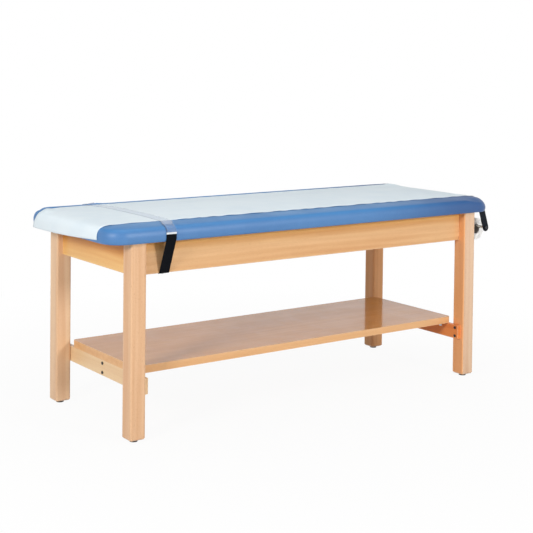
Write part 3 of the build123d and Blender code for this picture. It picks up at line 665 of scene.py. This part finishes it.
def outward(x, y):
    """The plan direction out of the rim at one of its points."""
    out = Vector((max(abs(x) - straight_x, 0), max(abs(y) - straight_y, 0)))
    if out.length < 1e-9:
        out = Vector((1, 0)) if rim_x - abs(x) < rim_y - abs(y) else Vector((0, 1))
    out.normalize()
    return math.copysign(out.x, x), math.copysign(out.y, y)


# %% Faces and pieces
def grid_faces(lines, count):
    """The faces between points that are listed line by line."""
    starts = [line * count + k for line in range(lines - 1) for k in range(count - 1)]
    return [(a, a + 1, a + count + 1, a + count) for a in starts]


def ring_faces(one, other):
    """The faces between two closed rings of points."""
    return list(zip(one, other, other[1:] + other[:1], one[1:] + one[:1]))


def new_piece(name, points, faces, material):
    """A smooth-shaded object at the origin, with its place in its mesh."""
    mesh = bpy.data.meshes.new(name)
    mesh.from_pydata([tuple(p) for p in points], [], faces)
    mesh.update()
    mesh.shade_smooth()
    mesh.materials.append(material)
    return in_scene(name, mesh)


def attach(piece, body, slot, *solids):
    """Lets a piece ride on a body, in the place of these solids. The slot is not used."""
    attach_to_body(piece, body)
    if solids:
        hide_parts(*solids)


def thicken(piece, thick, side):
    """Gives a sheet its thickness: outwards if the side is 1, and inwards if it is -1."""
    wall = piece.modifiers.new("thickness", "SOLIDIFY")
    wall.thickness, wall.offset = thick, side


# %% Soft form
# Insets of the extra grid lines that follow the fuller back
extra_insets = np.array([31, 45, 59]) * mm


def wall_levels(count, lowest):
    """Levels down the wall, close together round the shoulder, as inset and height."""
    rim = int(np.argmax(profile_line[crest:, 0] >= rim_inset - 1e-6)) + crest
    runs = np.linspace(profile_run[rim], 0, count + 1)[1:]
    insets, rises = (np.interp(runs, profile_run, values) for values in profile_line.T)
    return [(float(i), board_under + float(r)) for i, r in zip(insets, rises) if r >= lowest]


def soft_form(step, skin, levels):
    """Points, faces and last ring of the soft top, moved in by a skin. Its walls go down the levels."""
    xs = grid_lines(straight_x, rim_x, step)
    ys = np.sort(np.concatenate([grid_lines(straight_y, rim_y, step), half_wide - extra_insets]))
    plan = [rounded(x, y) for y in ys for x in xs]
    points = [(x, y, board_under + crown_rise(x, y) - skin) for x, y in plan]
    columns, rows, whole = len(xs), len(ys), len(plan)
    faces = grid_faces(rows, columns)
    rim = [*range(columns), *range(2 * columns - 1, whole, columns),
           *range(whole - 2, whole - columns - 1, -1), *range(whole - 2 * columns, 0, -columns)]
    ways = [outward(*plan[i]) for i in rim]
    last = rim
    for inset, height in levels:
        ring = list(range(len(points), len(points) + len(rim)))
        shift = rim_inset - inset - skin
        for i, (out_x, out_y) in zip(rim, ways):
            x, y = plan[i][0] + out_x * shift, plan[i][1] + out_y * shift
            points.append((x, y, height - corner_fall(x, y, inset, height - board_under)))
        faces += ring_faces(last, ring)
        last = ring
    return [(x + middle_x, y, z) for x, y, z in points], faces, last


# %% [markdown]
# Upholstery vinyl has a fine pebble grain, like leather, and a soft gloss. Cells give the
# pebbles, and noise the folds. The blue is painted a little deeper in the hollows between them
# as painted shade, and the roughness drifts over the surface where it has been wiped and sat on.
# The faces turned up are made paler by painted light, and towards the head end the blue is
# made deeper by painted shade.

# %% Blue vinyl
vinyl_blue, hollow_shade_blue = linear(79, 129, 182), linear(62, 108, 163)
# Painted shade that deepens the blue towards the head end, and painted light for faces turned up
head_end_shade, painted_top_light = (0.31, 0.38, 0.52, 1.0), (0.82, 1.10, 1.12, 1.0)

given = start_group("vinyl_grain", Base=white, Deep=white, Unbleached=white)
along, _, _ = split(given.Vector)
cell = cells(given.Vector, 620.0)
drift = noise(given.Vector, 5, 3, 0.55)
# Painted shade in the grain's hollows, and tone that drifts at random
shade = spread(cell, 0.35, 0.8) * 0.35 + spread(drift, 0.3, 0.7, 0.0, 0.3)
blue = blend(shade, given.Base, given.Deep)
# Painted shade: the blue deepens towards the head end
vinyl_grain = end_group(Color=tinted(blue, given.Unbleached, spread(along, 0.1, 1.0)),
                        Roughness=spread(drift, 0.3, 0.7, 0.41, 0.48),
                        Height=noise(given.Vector, 240, 3, 0.6) * 0.6 - cell)

blue_vinyl, shader, place = start_material("blue_vinyl")
made = use_group(vinyl_grain, Vector=place, Base=vinyl_blue, Deep=hollow_shade_blue, Unbleached=head_end_shade)
_, _, up = facing(place)
# Painted light: faces turned up are made paler
made.Color = tinted(made.Color, painted_top_light, spread(up, 0.3, 0.85))
feed(shader, made, 0.00005, Specular_IOR_Level=0.48)

# %% [markdown]
# The vinyl is stretched over foam and stapled under the board, so it is taut, a little
# fuller in the middle of each face and drawn tight at its lower edge. A short cloth
# simulation with air pressure inside gives that. The hem and the lower edge are pinned, as
# the staples hold them, and no point may move further than the foam lets it.

# %% Inflate a cover
most_swelling, least_swelling, last_moment = 1.4 * mm, 0.3 * mm, 20
cloth_settings = {
    "quality": 6, "mass": 0.3, "time_scale": 1.0, "tension_stiffness": 40, "compression_stiffness": 40,
    "shear_stiffness": 20, "bending_stiffness": 2.0, "use_pressure": True, "uniform_pressure_force": 2.0,
    "vertex_group_mass": "held",
}


def puffed(piece, pins):
    """Lets a piece swell like cloth: less than the limit everywhere, and hardly at all inwards."""
    rest = np.array([v.co for v in piece.data.vertices])
    piece.vertex_groups.new(name="held").add(pins, 1.0, "REPLACE")
    cloth = piece.modifiers.new("cloth", "CLOTH")
    for name, value in cloth_settings.items():
        setattr(cloth.settings, name, value)
    cloth.settings.effector_weights.gravity = 0
    cloth.point_cache.frame_start, cloth.point_cache.frame_end = 1, last_moment
    for moment in range(1, last_moment + 1):
        scene.frame_set(moment)
    evaluated = piece.evaluated_get(bpy.context.evaluated_depsgraph_get())
    way = np.array([v.co for v in evaluated.data.vertices]) - rest
    piece.modifiers.remove(cloth)
    scene.frame_set(1)
    way *= (most_swelling / (most_swelling + np.linalg.norm(way, axis=1)))[:, None]
    out = np.array([v.normal for v in piece.data.vertices])
    swelling = (way * out).sum(axis=1)
    way += out * np.maximum(-least_swelling - swelling, 0)[:, None]
    piece.data.vertices.foreach_set("co", (rest + way).astype(np.float32).ravel())
    piece.data.update()
    piece.vertex_groups.clear()
    print(piece.name, "swelled by", round(float(swelling.max()) / mm, 2), "mm at most")


# %% Vinyl cover
vinyl_thick, hem_deep, slack = 1.2 * mm, 45 * mm, 1.0 * mm
cover_step, held_below = 15.5 * mm, 8 * mm
hem_levels = [(4.6 * mm, board_under + 0.8 * mm)] + [
    (inset, board_under) for inset in (5.0 * mm, 16 * mm, 30 * mm, 4 * mm + hem_deep)]

points, faces, _ = soft_form(cover_step, slack, wall_levels(13, 0.5 * mm) + hem_levels)
cover = new_piece("padded_cover", points, faces, blue_vinyl)
puffed(cover, [i for i, point in enumerate(points) if point[2] < board_under + held_below])
thicken(cover, vinyl_thick, -1)
finer = cover.modifiers.new("finer", "SUBSURF")
finer.levels = finer.render_levels = 1
attach(cover, "table", "blue_vinyl", "vinyl_cover")
print("cover:", len(cover.data.polygons), "faces before it is made finer")

# %% [markdown]
# The foam under the vinyl is never seen, but it is a piece of the table, so it is made too:
# the same form, smaller by the vinyl, with a shallow room below for the board.

# %% Foam pad
foam_step, foam_skin = 40 * mm, slack + vinyl_thick + 1.2 * mm
foam_low, foam_roof = board_under + 2.6 * mm, board_under + vinyl_thick + 16.8 * mm
foam_levels = [(3.4 * mm, foam_low), (5.0 * mm, foam_low), (5.0 * mm, foam_roof)]

yellow_foam, shader, place = start_material("foam")
cell = cells(place, 900.0)
colour = blend(cell, linear(226, 214, 170), linear(196, 180, 130))
feed(shader, SimpleNamespace(Color=colour, Roughness=0.95, Height=cell), 0.0003)
points, faces, last = soft_form(foam_step, foam_skin, wall_levels(7, 6 * mm) + foam_levels)
faces += [(a, len(points), b) for a, b in zip(last, last[1:] + last[:1])]
foam = new_piece("foam_filling", points + [(middle_x, 0, foam_roof)], faces, yellow_foam)
attach(foam, "table", "foam", "foam_pad")

# %% [markdown]
# Exam paper is one long sheet. It hangs over the foot end, lies on the top, goes down over
# the head end and back in to the roll. Each long line of the sheet is found as a section of
# the soft form at its own distance from the front, and a search in the finished cover then
# lifts every point clear of the vinyl. The edges flutter a little, as thin paper does.

# %% Section of the soft top
def section_line(y):
    """The line of the soft top at one Y, from the foot end's bottom to the head end's."""
    beyond = max(abs(y) - (half_wide - corner_round), 0)

    def reach(inset):
        return half_long - corner_round + math.sqrt(max((corner_round - inset) ** 2 - beyond**2, 0))

    side = [(reach(inset if rise > widest_rise else 0.0), rise) for inset, rise in profile_line
            if inset < rim_inset]
    edge = reach(rim_inset)
    top = [(x, crown_rise(x, y)) for x in np.linspace(-edge, edge, 420)]
    return [(-x, z) for x, z in side] + top + side[::-1]


def spaced(line, count):
    """Points at equal steps along a line, and its length."""
    line = np.array(line)
    run = np.concatenate([[0], np.cumsum(np.linalg.norm(np.diff(line, axis=0), axis=1))])
    steps = np.linspace(0, run[-1], count)
    return np.stack([np.interp(steps, run, values) for values in line.T], axis=1), run[-1]


# %% Search in the finished cover
def surface_search(*pieces):
    """A search tree of the pieces' outer faces. No thickness, so a point never finds an inner wall."""
    for piece in pieces:
        piece.modifiers["thickness"].show_viewport = False
    depsgraph = bpy.context.evaluated_depsgraph_get()
    points, faces = [], []
    for piece in pieces:
        mesh = piece.evaluated_get(depsgraph).to_mesh()
        faces += [[len(points) + i for i in p.vertices] for p in mesh.polygons]
        points += [piece.matrix_world @ v.co for v in mesh.vertices]
        piece.modifiers["thickness"].show_viewport = True
    return BVHTree.FromPolygons(points, faces)


def lifted(search, point, gap, reach=0.02):
    """A point moved out until it is clear of the surface by a gap."""
    place, normal, _, _ = search.find_nearest(point, reach)
    if place is None:
        return point
    depth = (point - place).dot(normal)
    return point + normal * (gap - depth) if depth < gap else point


def calmed(points, lines, passes):
    """Grid points after each has been moved a little towards its neighbours, a few times over."""
    grid = np.array([tuple(point) for point in points]).reshape(lines, -1, 3)
    for _ in range(passes):
        grid[:, 1:-1] = grid[:, 1:-1] / 2 + (grid[:, :-2] + grid[:, 2:]) / 4
        grid[1:-1] = grid[1:-1] / 2 + (grid[:-2] + grid[2:]) / 4
    return [Vector(point) for point in grid.reshape(-1, 3)]


cover_search = surface_search(cover)

# %% Exam paper
paper_front, paper_back = -242.7 * mm, 290.7 * mm
paper_wide = paper_back - paper_front
hang_front, hang_back, hang_belly = 12 * mm, -7 * mm, 6 * mm
paper_gap, paper_thick = 0.35 * mm, 0.25 * mm
roll_middle = Vector((939.85 * mm, 0, 631.3 * mm))
roll_out, roll_clear, strap_x = 49 * mm, 0.9 * mm, -703.15 * mm
front_flutter, back_flutter, flutter_depth, sheet_ripple = 1.9 * mm, 0.7 * mm, 20 * mm, 0.25 * mm
# How far the sheet's back edge is drawn in, from which share of its width, and where
edge_drawn_in, drawn_share = 34 * mm, (0.62, 1.0)
drawn_x, drawn_z = (-0.84, -0.975), (board_under + 4 * mm, board_under + 38 * mm)


def to_roll():
    """Where the sheet leaves the top's head end and where it meets the roll, as X and Z."""
    start = Vector((half_long + middle_x + paper_gap, board_under))
    to_start = start - Vector((roll_middle.x, roll_middle.z))
    reach = roll_out + roll_clear
    run = math.sqrt(to_start.length_squared - reach * reach)
    slope = math.atan2(-to_start.y, -to_start.x) - math.asin(reach / to_start.length)
    return start, start + run * Vector((math.cos(slope), math.sin(slope)))


def paper_wave(run, y):
    """How far the sheet lifts off at one place: more at its long edges."""
    to_edge = min(y - paper_front, paper_back - y)
    flutter = (back_flutter if y > 0 else front_flutter) * math.exp(-to_edge / flutter_depth)
    wave = 0.5 + 0.5 * math.sin(run * 71 + 2.1 * math.sin(run * 13) + (1.3 if y > 0 else 0))
    ripple = sheet_ripple * (0.5 + 0.5 * math.sin(run * 9 + y * 4) * math.sin(y * 17 + run * 2.3))
    return flutter * wave + ripple


def drawn_in(point, share):
    """The sheet's back edge is pulled in where it turns over the foot end."""
    over = eased(point.x, *drawn_x) * eased(point.z, *drawn_z)
    return Vector((0, -edge_drawn_in * over * eased(share, *drawn_share), 0))


def make_paper_lines(columns, along):
    """Grid points of the sheet, line by line across its width, and its mean length."""
    start, meet = to_roll()
    lines, lengths = [], []
    for share in (column / (columns - 1) for column in range(columns)):
        y = paper_front + share * paper_wide
        whole = [(x + middle_x, z + board_under) for x, z in section_line(y)]
        low = board_under + hang_front + share * (hang_back - hang_front)
        low -= hang_belly * math.sin(math.pi * share)
        line = [p for p in whole if p[1] > low + 1 * mm or p[0] > middle_x]
        line.insert(0, ((whole if low < board_under else line)[0][0], low))
        line += [tuple(start + (meet - start) * k / 12) for k in range(1, 13)]
        points, length = spaced(line, along)
        points = [Vector((x, y, z)) for x, z in points]
        lines.append([p + drawn_in(p, share) for p in points])
        lengths.append(length)
    return lines, sum(lengths) / len(lengths)


print("sheet meets the roll at X, Z mm:", [round(v / mm, 1) for v in to_roll()[1]])

# %% Paper colour and tooth
given = start_group("paper_tooth", Base=white, Shade=white)
fibre, cloud = noise(given.Vector, 520, 4, 0.7), noise(given.Vector, 7, 3, 0.6)
share = spread(fibre, 0.35, 0.7, 0, 0.25) + spread(cloud, 0.35, 0.7, 0, 0.5)
paper_tooth = end_group(Color=blend(share, given.Base, given.Shade),
                        Roughness=spread(fibre, 0.3, 0.7, 0.62, 0.78), Height=fibre + cloud * 2.0)


def paper_finish(name, base, shade):
    return group_finish(name, paper_tooth, 0.00006, Base=linear(*base), Shade=linear(*shade),
                        Specular_IOR_Level=0.35)


white_paper = paper_finish("exam_paper", (228, 238, 243), (218, 231, 239))

# %% Sheet over the top
sheet_columns, sheet_along, strap_holds = 54, 400, 42 * mm
side_height, side_wave, calm_height = 50 * mm, 0.4, 0.5 * mm


def sheet_lift(point, wave):
    """The wave's direction: up on the top, but none under the strap, and outwards at the ends."""
    if point.z < board_under + calm_height and point.x > 0:
        return Vector((0, 0, 0))
    if point.z < board_under + side_height:
        return Vector((-1 if point.x < 0 else 1, 0, 0)) * wave * side_wave
    return Vector((0, 0, 1)) * wave * (1 - math.exp(-((point.x - strap_x) / strap_holds) ** 2))


lines, length = make_paper_lines(sheet_columns, sheet_along)
points = []
for line in lines:
    for k, point in enumerate(line):
        wave = paper_wave(length * k / (sheet_along - 1), point.y)
        points.append(lifted(cover_search, point + sheet_lift(point, wave), paper_gap + 0.2 * mm))
points = [lifted(cover_search, point, paper_gap) for point in calmed(points, sheet_columns, 5)]
sheet = new_piece("exam_sheet", points, grid_faces(sheet_columns, sheet_along), white_paper)
thicken(sheet, paper_thick, 1)
attach(sheet, "table", "paper", "exam_paper", "paper_web")
print("sheet:", round(paper_wide, 3), "by", round(length, 3), "m")
sheet_search = surface_search(sheet, cover)

# %% [markdown]
# Geometry Nodes suit what repeats or follows a path. A tree starts with named inputs, like
# the shader groups. The last helper hangs it on an object, sets the inputs by the sockets'
# own identifiers, and turns the result into a plain mesh that can ride on a body.

# %% Shapes in Geometry Nodes
def vector(**axes):
    """A vector from its parts. An axis that isn't named is zero."""
    return add("ShaderNodeCombineXYZ", axes)


def spot_in(given):
    """The place of each point, in the tree that these inputs belong to."""
    return add("GeometryNodeInputPosition", tree=next(iter(vars(given).values())).tree)


def circle(radius, corners):
    return add("GeometryNodeCurvePrimitiveCircle", {"Resolution": corners, "Radius": radius})


def rectangle(width, height):
    return add("GeometryNodeCurvePrimitiveQuadrilateral", {"Width": width, "Height": height})


def spiral(corners, turns, inner, outer, height):
    sizes = {"Resolution": corners, "Rotations": turns, "Start Radius": inner, "End Radius": outer,
             "Height": height, "Reverse": False}
    return add("GeometryNodeCurveSpiral", sizes)


def straight(start, end, count=2):
    """A line of points from one place to another."""
    ends = {"Count": count, "Start Location": start, "Offset": end}
    return add("GeometryNodeMeshLine", ends, mode="END_POINTS")


def swept(path, outline):
    """An outline carried along a path, closed at both ends."""
    return add("GeometryNodeCurveToMesh", {"Curve": path, "Profile Curve": outline, "Fill Caps": True})


def round_bar(axis, length, radius, corners, start=-0.5, end=0.5):
    """A round bar along an axis, from one share of its length to another."""
    ends = {"Start": vector(**{axis: length * start}), "End": vector(**{axis: length * end})}
    return swept(add("GeometryNodeCurvePrimitiveLine", ends), circle(radius, corners))


def together(*parts):
    """Several geometries in one."""
    joint = add("GeometryNodeJoinGeometry", tree=parts[0].tree)
    for part in parts:
        join(joint.socket.node, {0: part})
    return joint


def moved(geometry, place, turn=(0, 0, 0)):
    return add("GeometryNodeTransform", {"Geometry": geometry, "Translation": place, "Rotation": turn})


# %% From a tree to a piece
def end_tree(geometry, material):
    """Every tree ends in Realize Instances and Set Material."""
    real = add("GeometryNodeRealizeInstances", {"Geometry": geometry})
    smooth = add("GeometryNodeSetShadeSmooth", {"Geometry": real})
    return end_group(Geometry=add("GeometryNodeSetMaterial", {"Geometry": smooth, "Material": material}))


def grown(name, tree, body, slot, *solids, **values):
    """The mesh that a tree makes with these values, as a plain piece that rides on a body."""
    host = in_scene(name + "_host", bpy.data.meshes.new(name + "_host"))
    modifier = host.modifiers.new("grow", "NODES")
    modifier.node_group = tree
    for item in tree.interface.items_tree:
        if item.name in values:
            modifier[item.identifier] = values[item.name]
    depsgraph = bpy.context.evaluated_depsgraph_get()
    mesh = bpy.data.meshes.new_from_object(host.evaluated_get(depsgraph), depsgraph=depsgraph)
    host.modifiers.remove(modifier)
    bpy.data.objects.remove(host)
    mesh.name = name
    attach(in_scene(name, mesh), body, slot, *solids)
    print(name + ":", len(mesh.vertices), "points")


# %% [markdown]
# The roll is wound from the same paper. A spiral curve is its end view, and a tall thin
# rectangle swept along the spiral is the paper itself. A little noise along the axis, fixed
# by its seed, lets the turns stand unevenly at the ends, as they do on a real roll.

# %% Paper roll
roll_paper = paper_finish("roll_paper", (250, 250, 248), (242, 243, 242))
roll_place = (roll_middle.x, (paper_front + paper_back) / 2, roll_middle.z)

given = start_group("wound_paper", "GeometryNodeTree", Width=paper_wide - 1.0 * mm, Bore=21.9 * mm,
                    Outside=48.8 * mm, Turns=52.0, Paper=0.51 * mm, Uneven=0.3 * mm, Seed=3.0,
                    Place=roll_place)
wind = spiral(72, given.Turns, given.Bore, given.Outside, 0.0)
reach = vector_math("LENGTH", spot_in(given), pick="Value")
steps = {"W": reach * 900.0 + given.Seed, "Scale": 1.0, "Detail": 1.0}
wander = add("ShaderNodeTexNoise", steps, "Fac", noise_dimensions="1D")
uneven = {"Geometry": wind, "Offset": vector(Z=(wander - 0.5) * given.Uneven)}
paper = swept(add("GeometryNodeSetPosition", uneven), rectangle(given.Paper, given.Width))
roll_tree = end_tree(moved(paper, given.Place, (quarter, 0, 0)), roll_paper)
grown("paper_roll_wound", roll_tree, "roll", "paper", "paper_roll")

# %% [markdown]
# The strap that keeps the paper down is a clear strip across the top. At each side a white
# cuff joins it to a black elastic that runs down to the apron. The strip is a film lying on
# the paper: its lines are sections of the soft top too, and it narrows and slants towards
# the elastics as it goes over the edges.

# %% Clear film
clear_film, shader, place = start_material("clear_film")
smear = noise(place, (30, 6, 30), 3, 0.6)
edge = add("ShaderNodeLayerWeight", {"Blend": 0.25}, "Facing", tree=place.tree)
across = add("ShaderNodeAttribute", pick="Fac", tree=place.tree, attribute_name="across")
# Painted shade along the strip's two long edges, which are also less clear there
rim = spread(across, 0.03, 0.13, 1.0, 0.0)
film = blend(smear, linear(186, 200, 220), linear(160, 178, 206))
made = SimpleNamespace(Color=blend(rim, film, linear(92, 112, 142)),
                       Roughness=spread(smear, 0.3, 0.7, 0.08, 0.18), Height=smear)
feed(shader, made, 0.0001, Specular_IOR_Level=0.45, IOR=1.5,
     Alpha=spread(edge, 0.0, 1.0, 0.10, 0.50) + rim * 0.24)

# %% Clear strip
strip_wide, strip_thick, elastic_wide = 52 * mm, 0.5 * mm, 43 * mm
elastic_x, cuff_top, cuff_tall = -736.15 * mm, 34 * mm, 7 * mm
strip_count, strip_across, strip_float = 260, 14, 1.0 * mm
slant_from, slant_to = 240 * mm, 326 * mm


def cross_section(x_middle, gap):
    """The line of the soft top across its width at one X, from the front cuff to the back one."""
    side = [(half_wide - inset + gap, rise) for inset, rise in profile_line
            if inset < rim_inset and rise >= cuff_top - 0.01 * mm]
    top = [(y, crown_rise(x_middle, y) + gap) for y in np.linspace(-rim_y, rim_y, 160)]
    return [(-y, z) for y, z in side] + top + side[::-1]


def strap_middle(y):
    """The strap's middle along X and its width at one distance from the middle of the table."""
    share = eased(abs(y), slant_from, slant_to)
    return strap_x + share * (elastic_x - strap_x), strip_wide + share * (elastic_wide - strip_wide)


line, length = spaced(cross_section(strap_x - middle_x, strip_float), strip_count)
shares = [k / strip_across for k in range(strip_across + 1)]
points = []
for y, rise in line:
    middle, wide = strap_middle(y)
    for share in shares:
        x = middle + (share - 0.5) * wide
        height = crown_rise(x - middle_x, y) + strip_float if abs(y) < rim_y else rise
        points.append(lifted(sheet_search, Vector((x, y, board_under + height)), 0.6 * mm))
points = [lifted(sheet_search, point, 0.4 * mm) for point in calmed(points, strip_count, 6)]
faces = [face[::-1] for face in grid_faces(strip_count, len(shares))]
strip = new_piece("clear_strap", points, faces, clear_film)
strip.data.attributes.new("across", "FLOAT", "POINT").data.foreach_set("value", shares * strip_count)
thicken(strip, strip_thick, 1)
attach(strip, "table", "clear_film", "clear_strip")
area = sum(strap_middle(y)[1] for y, _ in line) * length / (strip_count - 1)
print("strip:", round(strip_wide / mm), "by", round(length / mm), "mm")

# %% [markdown]
# Elastic is a flat woven band with fine ribs along it. Its path runs down the side of the
# cushion, in to the apron's lower edge and under it to a screw. A rectangle with ribs is
# swept along that path. The same tree makes both elastics, and its input Side mirrors them.

# %% Woven band
given = start_group("band_weave", Base=black, Shade=black, Pitch=900.0)
x, y, z = split(given.Vector)
warp, weft = ((run * given.Pitch).math("SINE").math("ABSOLUTE") for run in (x, z + y * 0.6))
knit, fuzz = warp * weft, noise(given.Vector, 1500, 2, 0.6)
share = (knit + fuzz).math("MULTIPLY", 0.5, clamp=True)
band_weave = end_group(Color=blend(share, given.Shade, given.Base),
                       Roughness=spread(fuzz, 0.3, 0.7, 0.72, 0.9), Height=knit + fuzz * 0.4)


def band_finish(name, base, shade, pitch, depth):
    return group_finish(name, band_weave, depth, Base=linear(*base), Shade=linear(*shade), Pitch=pitch,
                        Specular_IOR_Level=0.1)


black_elastic = band_finish("black_elastic", (9, 14, 22), (4, 6, 10), 2600.0, 0.0003)
white_webbing = band_finish("white_webbing", (244, 248, 250), (214, 220, 226), 3100.0, 0.0002)

# %% Elastics
apron_face, apron_inner, apron_low = 292 * mm, 270 * mm, 600 * mm
elastic_out, bend_round = 1.1 * mm, 4 * mm
# Y and Z down the cushion's side, then to the apron and under it
elastic_path = [
    (half_wide + elastic_out, board_under + cuff_top - cuff_tall + 0.3 * mm),
    (half_wide + elastic_out, board_under + widest_rise),
    (half_wide - 1.2 * mm + elastic_out, board_under + 6.5 * mm),
    (half_wide - 4.0 * mm + elastic_out, board_under),
    (apron_face + elastic_out, apron_low - elastic_out),
    (apron_inner, apron_low - elastic_out)]
sides = (("front", -1.0), ("back", 1.0))

given = start_group("ribbed_band", "GeometryNodeTree", Width=elastic_wide, Thickness=1.3 * mm,
                    Rib_Pitch=2.1 * mm, Rib_Height=0.18 * mm, Side=1.0, Middle=elastic_x)
spots = [vector(X=given.Middle, Y=given.Side * y, Z=z) for y, z in elastic_path]
pieces = [straight(start, end) for start, end in zip(spots, spots[1:])]
whole = add("GeometryNodeMergeByDistance", {"Geometry": together(*pieces), "Distance": 0.00005})
path = add("GeometryNodeMeshToCurve", {"Mesh": whole})
bends = {"Curve": path, "Radius": bend_round, "Count": 6, "Limit Radius": True}
bent = add("GeometryNodeFilletCurve", bends, mode="POLY")
outline = {"Curve": rectangle(given.Width, given.Thickness), "Length": 0.00035}
fine = add("GeometryNodeResampleCurve", outline, mode="LENGTH")
x, y, _ = split(spot_in(given))
rib = (x / given.Rib_Pitch * math.pi).math("SINE").math("ABSOLUTE") * given.Rib_Height
ribbed = add("GeometryNodeSetPosition", {"Geometry": fine, "Offset": vector(Y=rib * y.math("SIGN"))})
band_tree = end_tree(swept(bent, ribbed), black_elastic)
for side_name, side in sides:
    grown("elastic_band_" + side_name, band_tree, "table", "black_elastic", "elastic_" + side_name,
          Side=side)

# %% [markdown]
# Each cuff is a piece of white webbing folded over the joint of strip and elastic, and sewn
# with two rows of stitches. The fold is a closed outline in side view, carried across the
# width. The stitches are one short rounded thread, repeated by Geometry Nodes.

# %% Cuffs
cuff_inner = half_wide + 0.5 * mm
cuff_outer, cuff_swell = cuff_inner + 2.0 * mm, 0.12 * mm
fold_round, fold_steps, cuff_columns = 0.9 * mm, 5, 24


def cuff_box(side_name):
    """Two corners of a cuff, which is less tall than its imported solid."""
    low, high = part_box("strap_cuff_" + side_name)
    high.z = board_under + cuff_top
    return low, high


def make_cuff(side_name, side):
    low, high = cuff_box(side_name)
    middle_y, middle_z = (cuff_inner + cuff_outer) / 2, (low.z + high.z) / 2
    fold = ((cuff_outer, high.z), (cuff_inner, high.z), (cuff_inner, low.z), (cuff_outer, low.z))
    outline = []
    for first, (y, z) in enumerate(fold):
        y -= math.copysign(fold_round, y - middle_y)
        z -= math.copysign(fold_round, z - middle_z)
        for angle in ((first + step / fold_steps) * quarter for step in range(fold_steps + 1)):
            outline.append((y + fold_round * math.cos(angle), z + fold_round * math.sin(angle)))
    points, rings = [], []
    for share in (column / cuff_columns for column in range(cuff_columns + 1)):
        x, swell = low.x + share * (high.x - low.x), cuff_swell * (1 - abs(2 * share - 1) ** 6)
        rings.append(list(range(len(points), len(points) + len(outline))))
        points += [(x, side * (y + (swell if y > middle_y else 0)), z) for y, z in outline]
    faces = []
    for a, b in zip(rings, rings[1:]):
        faces += zip(a, a[1:] + a[:1], b[1:] + b[:1], b)
    faces += [rings[0][::-1], rings[-1]]
    if side < 0:
        faces = [face[::-1] for face in faces]
    cuff = new_piece("white_cuff_" + side_name, points, faces, white_webbing)
    attach(cuff, "table", "white_webbing", "strap_cuff_" + side_name)


for side_name, side in sides:
    make_cuff(side_name, side)

# %% Stitches
stitch_thread = band_finish("stitch_thread", (236, 240, 244), (206, 212, 220), 4000.0, 0.0001)
stitch_in, stitch_down = 3 * mm, 2.0 * mm

given = start_group("stitch_row", "GeometryNodeTree", Start=origin, End=origin, Count=13,
                    Stitch=2.2 * mm, Thread=0.22 * mm, Rows_Apart=3.2 * mm)
line = straight(given.Start, given.End, given.Count)
rows = together(line, moved(line, vector(Z=given.Rows_Apart * -1.0)))
thread = round_bar("X", given.Stitch, given.Thread, 8)
sewn = add("GeometryNodeInstanceOnPoints", {"Points": rows, "Instance": thread})
stitch_tree = end_tree(sewn, stitch_thread)
for side_name, side in sides:
    low, high = cuff_box(side_name)
    y, z = side * (cuff_outer + cuff_swell), high.z - stitch_down
    grown("cuff_stitches_" + side_name, stitch_tree, "table", "white_webbing",
          Start=(low.x + stitch_in, y, z), End=(high.x - stitch_in, y, z))

# %% [markdown]
# Under the board the hem is held by staples, one every few centimetres. A rounded rectangle
# is the line they follow. Points on it carry a short piece of wire, turned to the line.
# Where the legs and the brackets cover the hem there are none.

# %% Staples
staple_inset = 37 * mm

given = start_group("staple_line", "GeometryNodeTree", Length=2 * (half_long - staple_inset),
                    Width=2 * (half_wide - staple_inset), Corner=corner_round - staple_inset,
                    Spacing=32 * mm, Staple=11 * mm, Wire=0.5 * mm, Clear_X=780 * mm,
                    Clear_Y=240 * mm, Place=(middle_x, 0, board_under - 0.3 * mm))
bends = {"Curve": rectangle(given.Length, given.Width), "Radius": given.Corner, "Count": 8}
hem = add("GeometryNodeFilletCurve", bends, mode="POLY")
spots = add("GeometryNodeCurveToPoints", {"Curve": hem, "Length": given.Spacing}, mode="LENGTH")
spots = every_output(spots)
x, y, _ = (value.math("ABSOLUTE") for value in split(spot_in(given)))
free = x.math("LESS_THAN", given.Clear_X).math("MAXIMUM", y.math("LESS_THAN", given.Clear_Y))
placed = add("GeometryNodeInstanceOnPoints", {
    "Points": spots.Points, "Selection": free, "Rotation": spots.Rotation,
    "Instance": round_bar("Z", given.Staple, given.Wire, 6)})
staple_tree = end_tree(moved(placed, given.Place), zinc)
grown("hem_staples", staple_tree, "table", "zinc_steel")

# %% [markdown]
# A levelling glide turns on a threaded stem. The thread is a helix: a spiral curve of one
# radius, with a small four-sided ridge swept along it, round a plain shaft. When a glide is
# screwed down, its thread comes into view under the leg.

# %% Threaded stems
stem_low, stem_high = 0.4 * mm, 0.4 * mm

given = start_group("threaded_stem", "GeometryNodeTree", Length=41 * mm, Outer=4 * mm,
                    Root=3.45 * mm, Pitch=1.25 * mm, Place=origin)
helix = spiral(20, given.Length / given.Pitch, given.Root, given.Root, given.Length)
thread = swept(helix, circle(given.Outer - given.Root, 4))
shaft = round_bar("Z", given.Length, given.Root, 32, 0.0, 1.0)
thread_tree = end_tree(moved(together(thread, shaft), given.Place), zinc)
for corner in corners:
    low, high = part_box("glide_stem_" + corner)
    place = ((low.x + high.x) / 2, (low.y + high.y) / 2, low.z + stem_low)
    grown("threaded_stem_" + corner, thread_tree, "glide_" + corner, "zinc_steel", "glide_stem_" + corner,
          Length=high.z - low.z - stem_low - stem_high, Place=place)

# %% Sizes
low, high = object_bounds()
print("dressed model, metres:", [round(b - a, 4) for a, b in zip(low, high)])
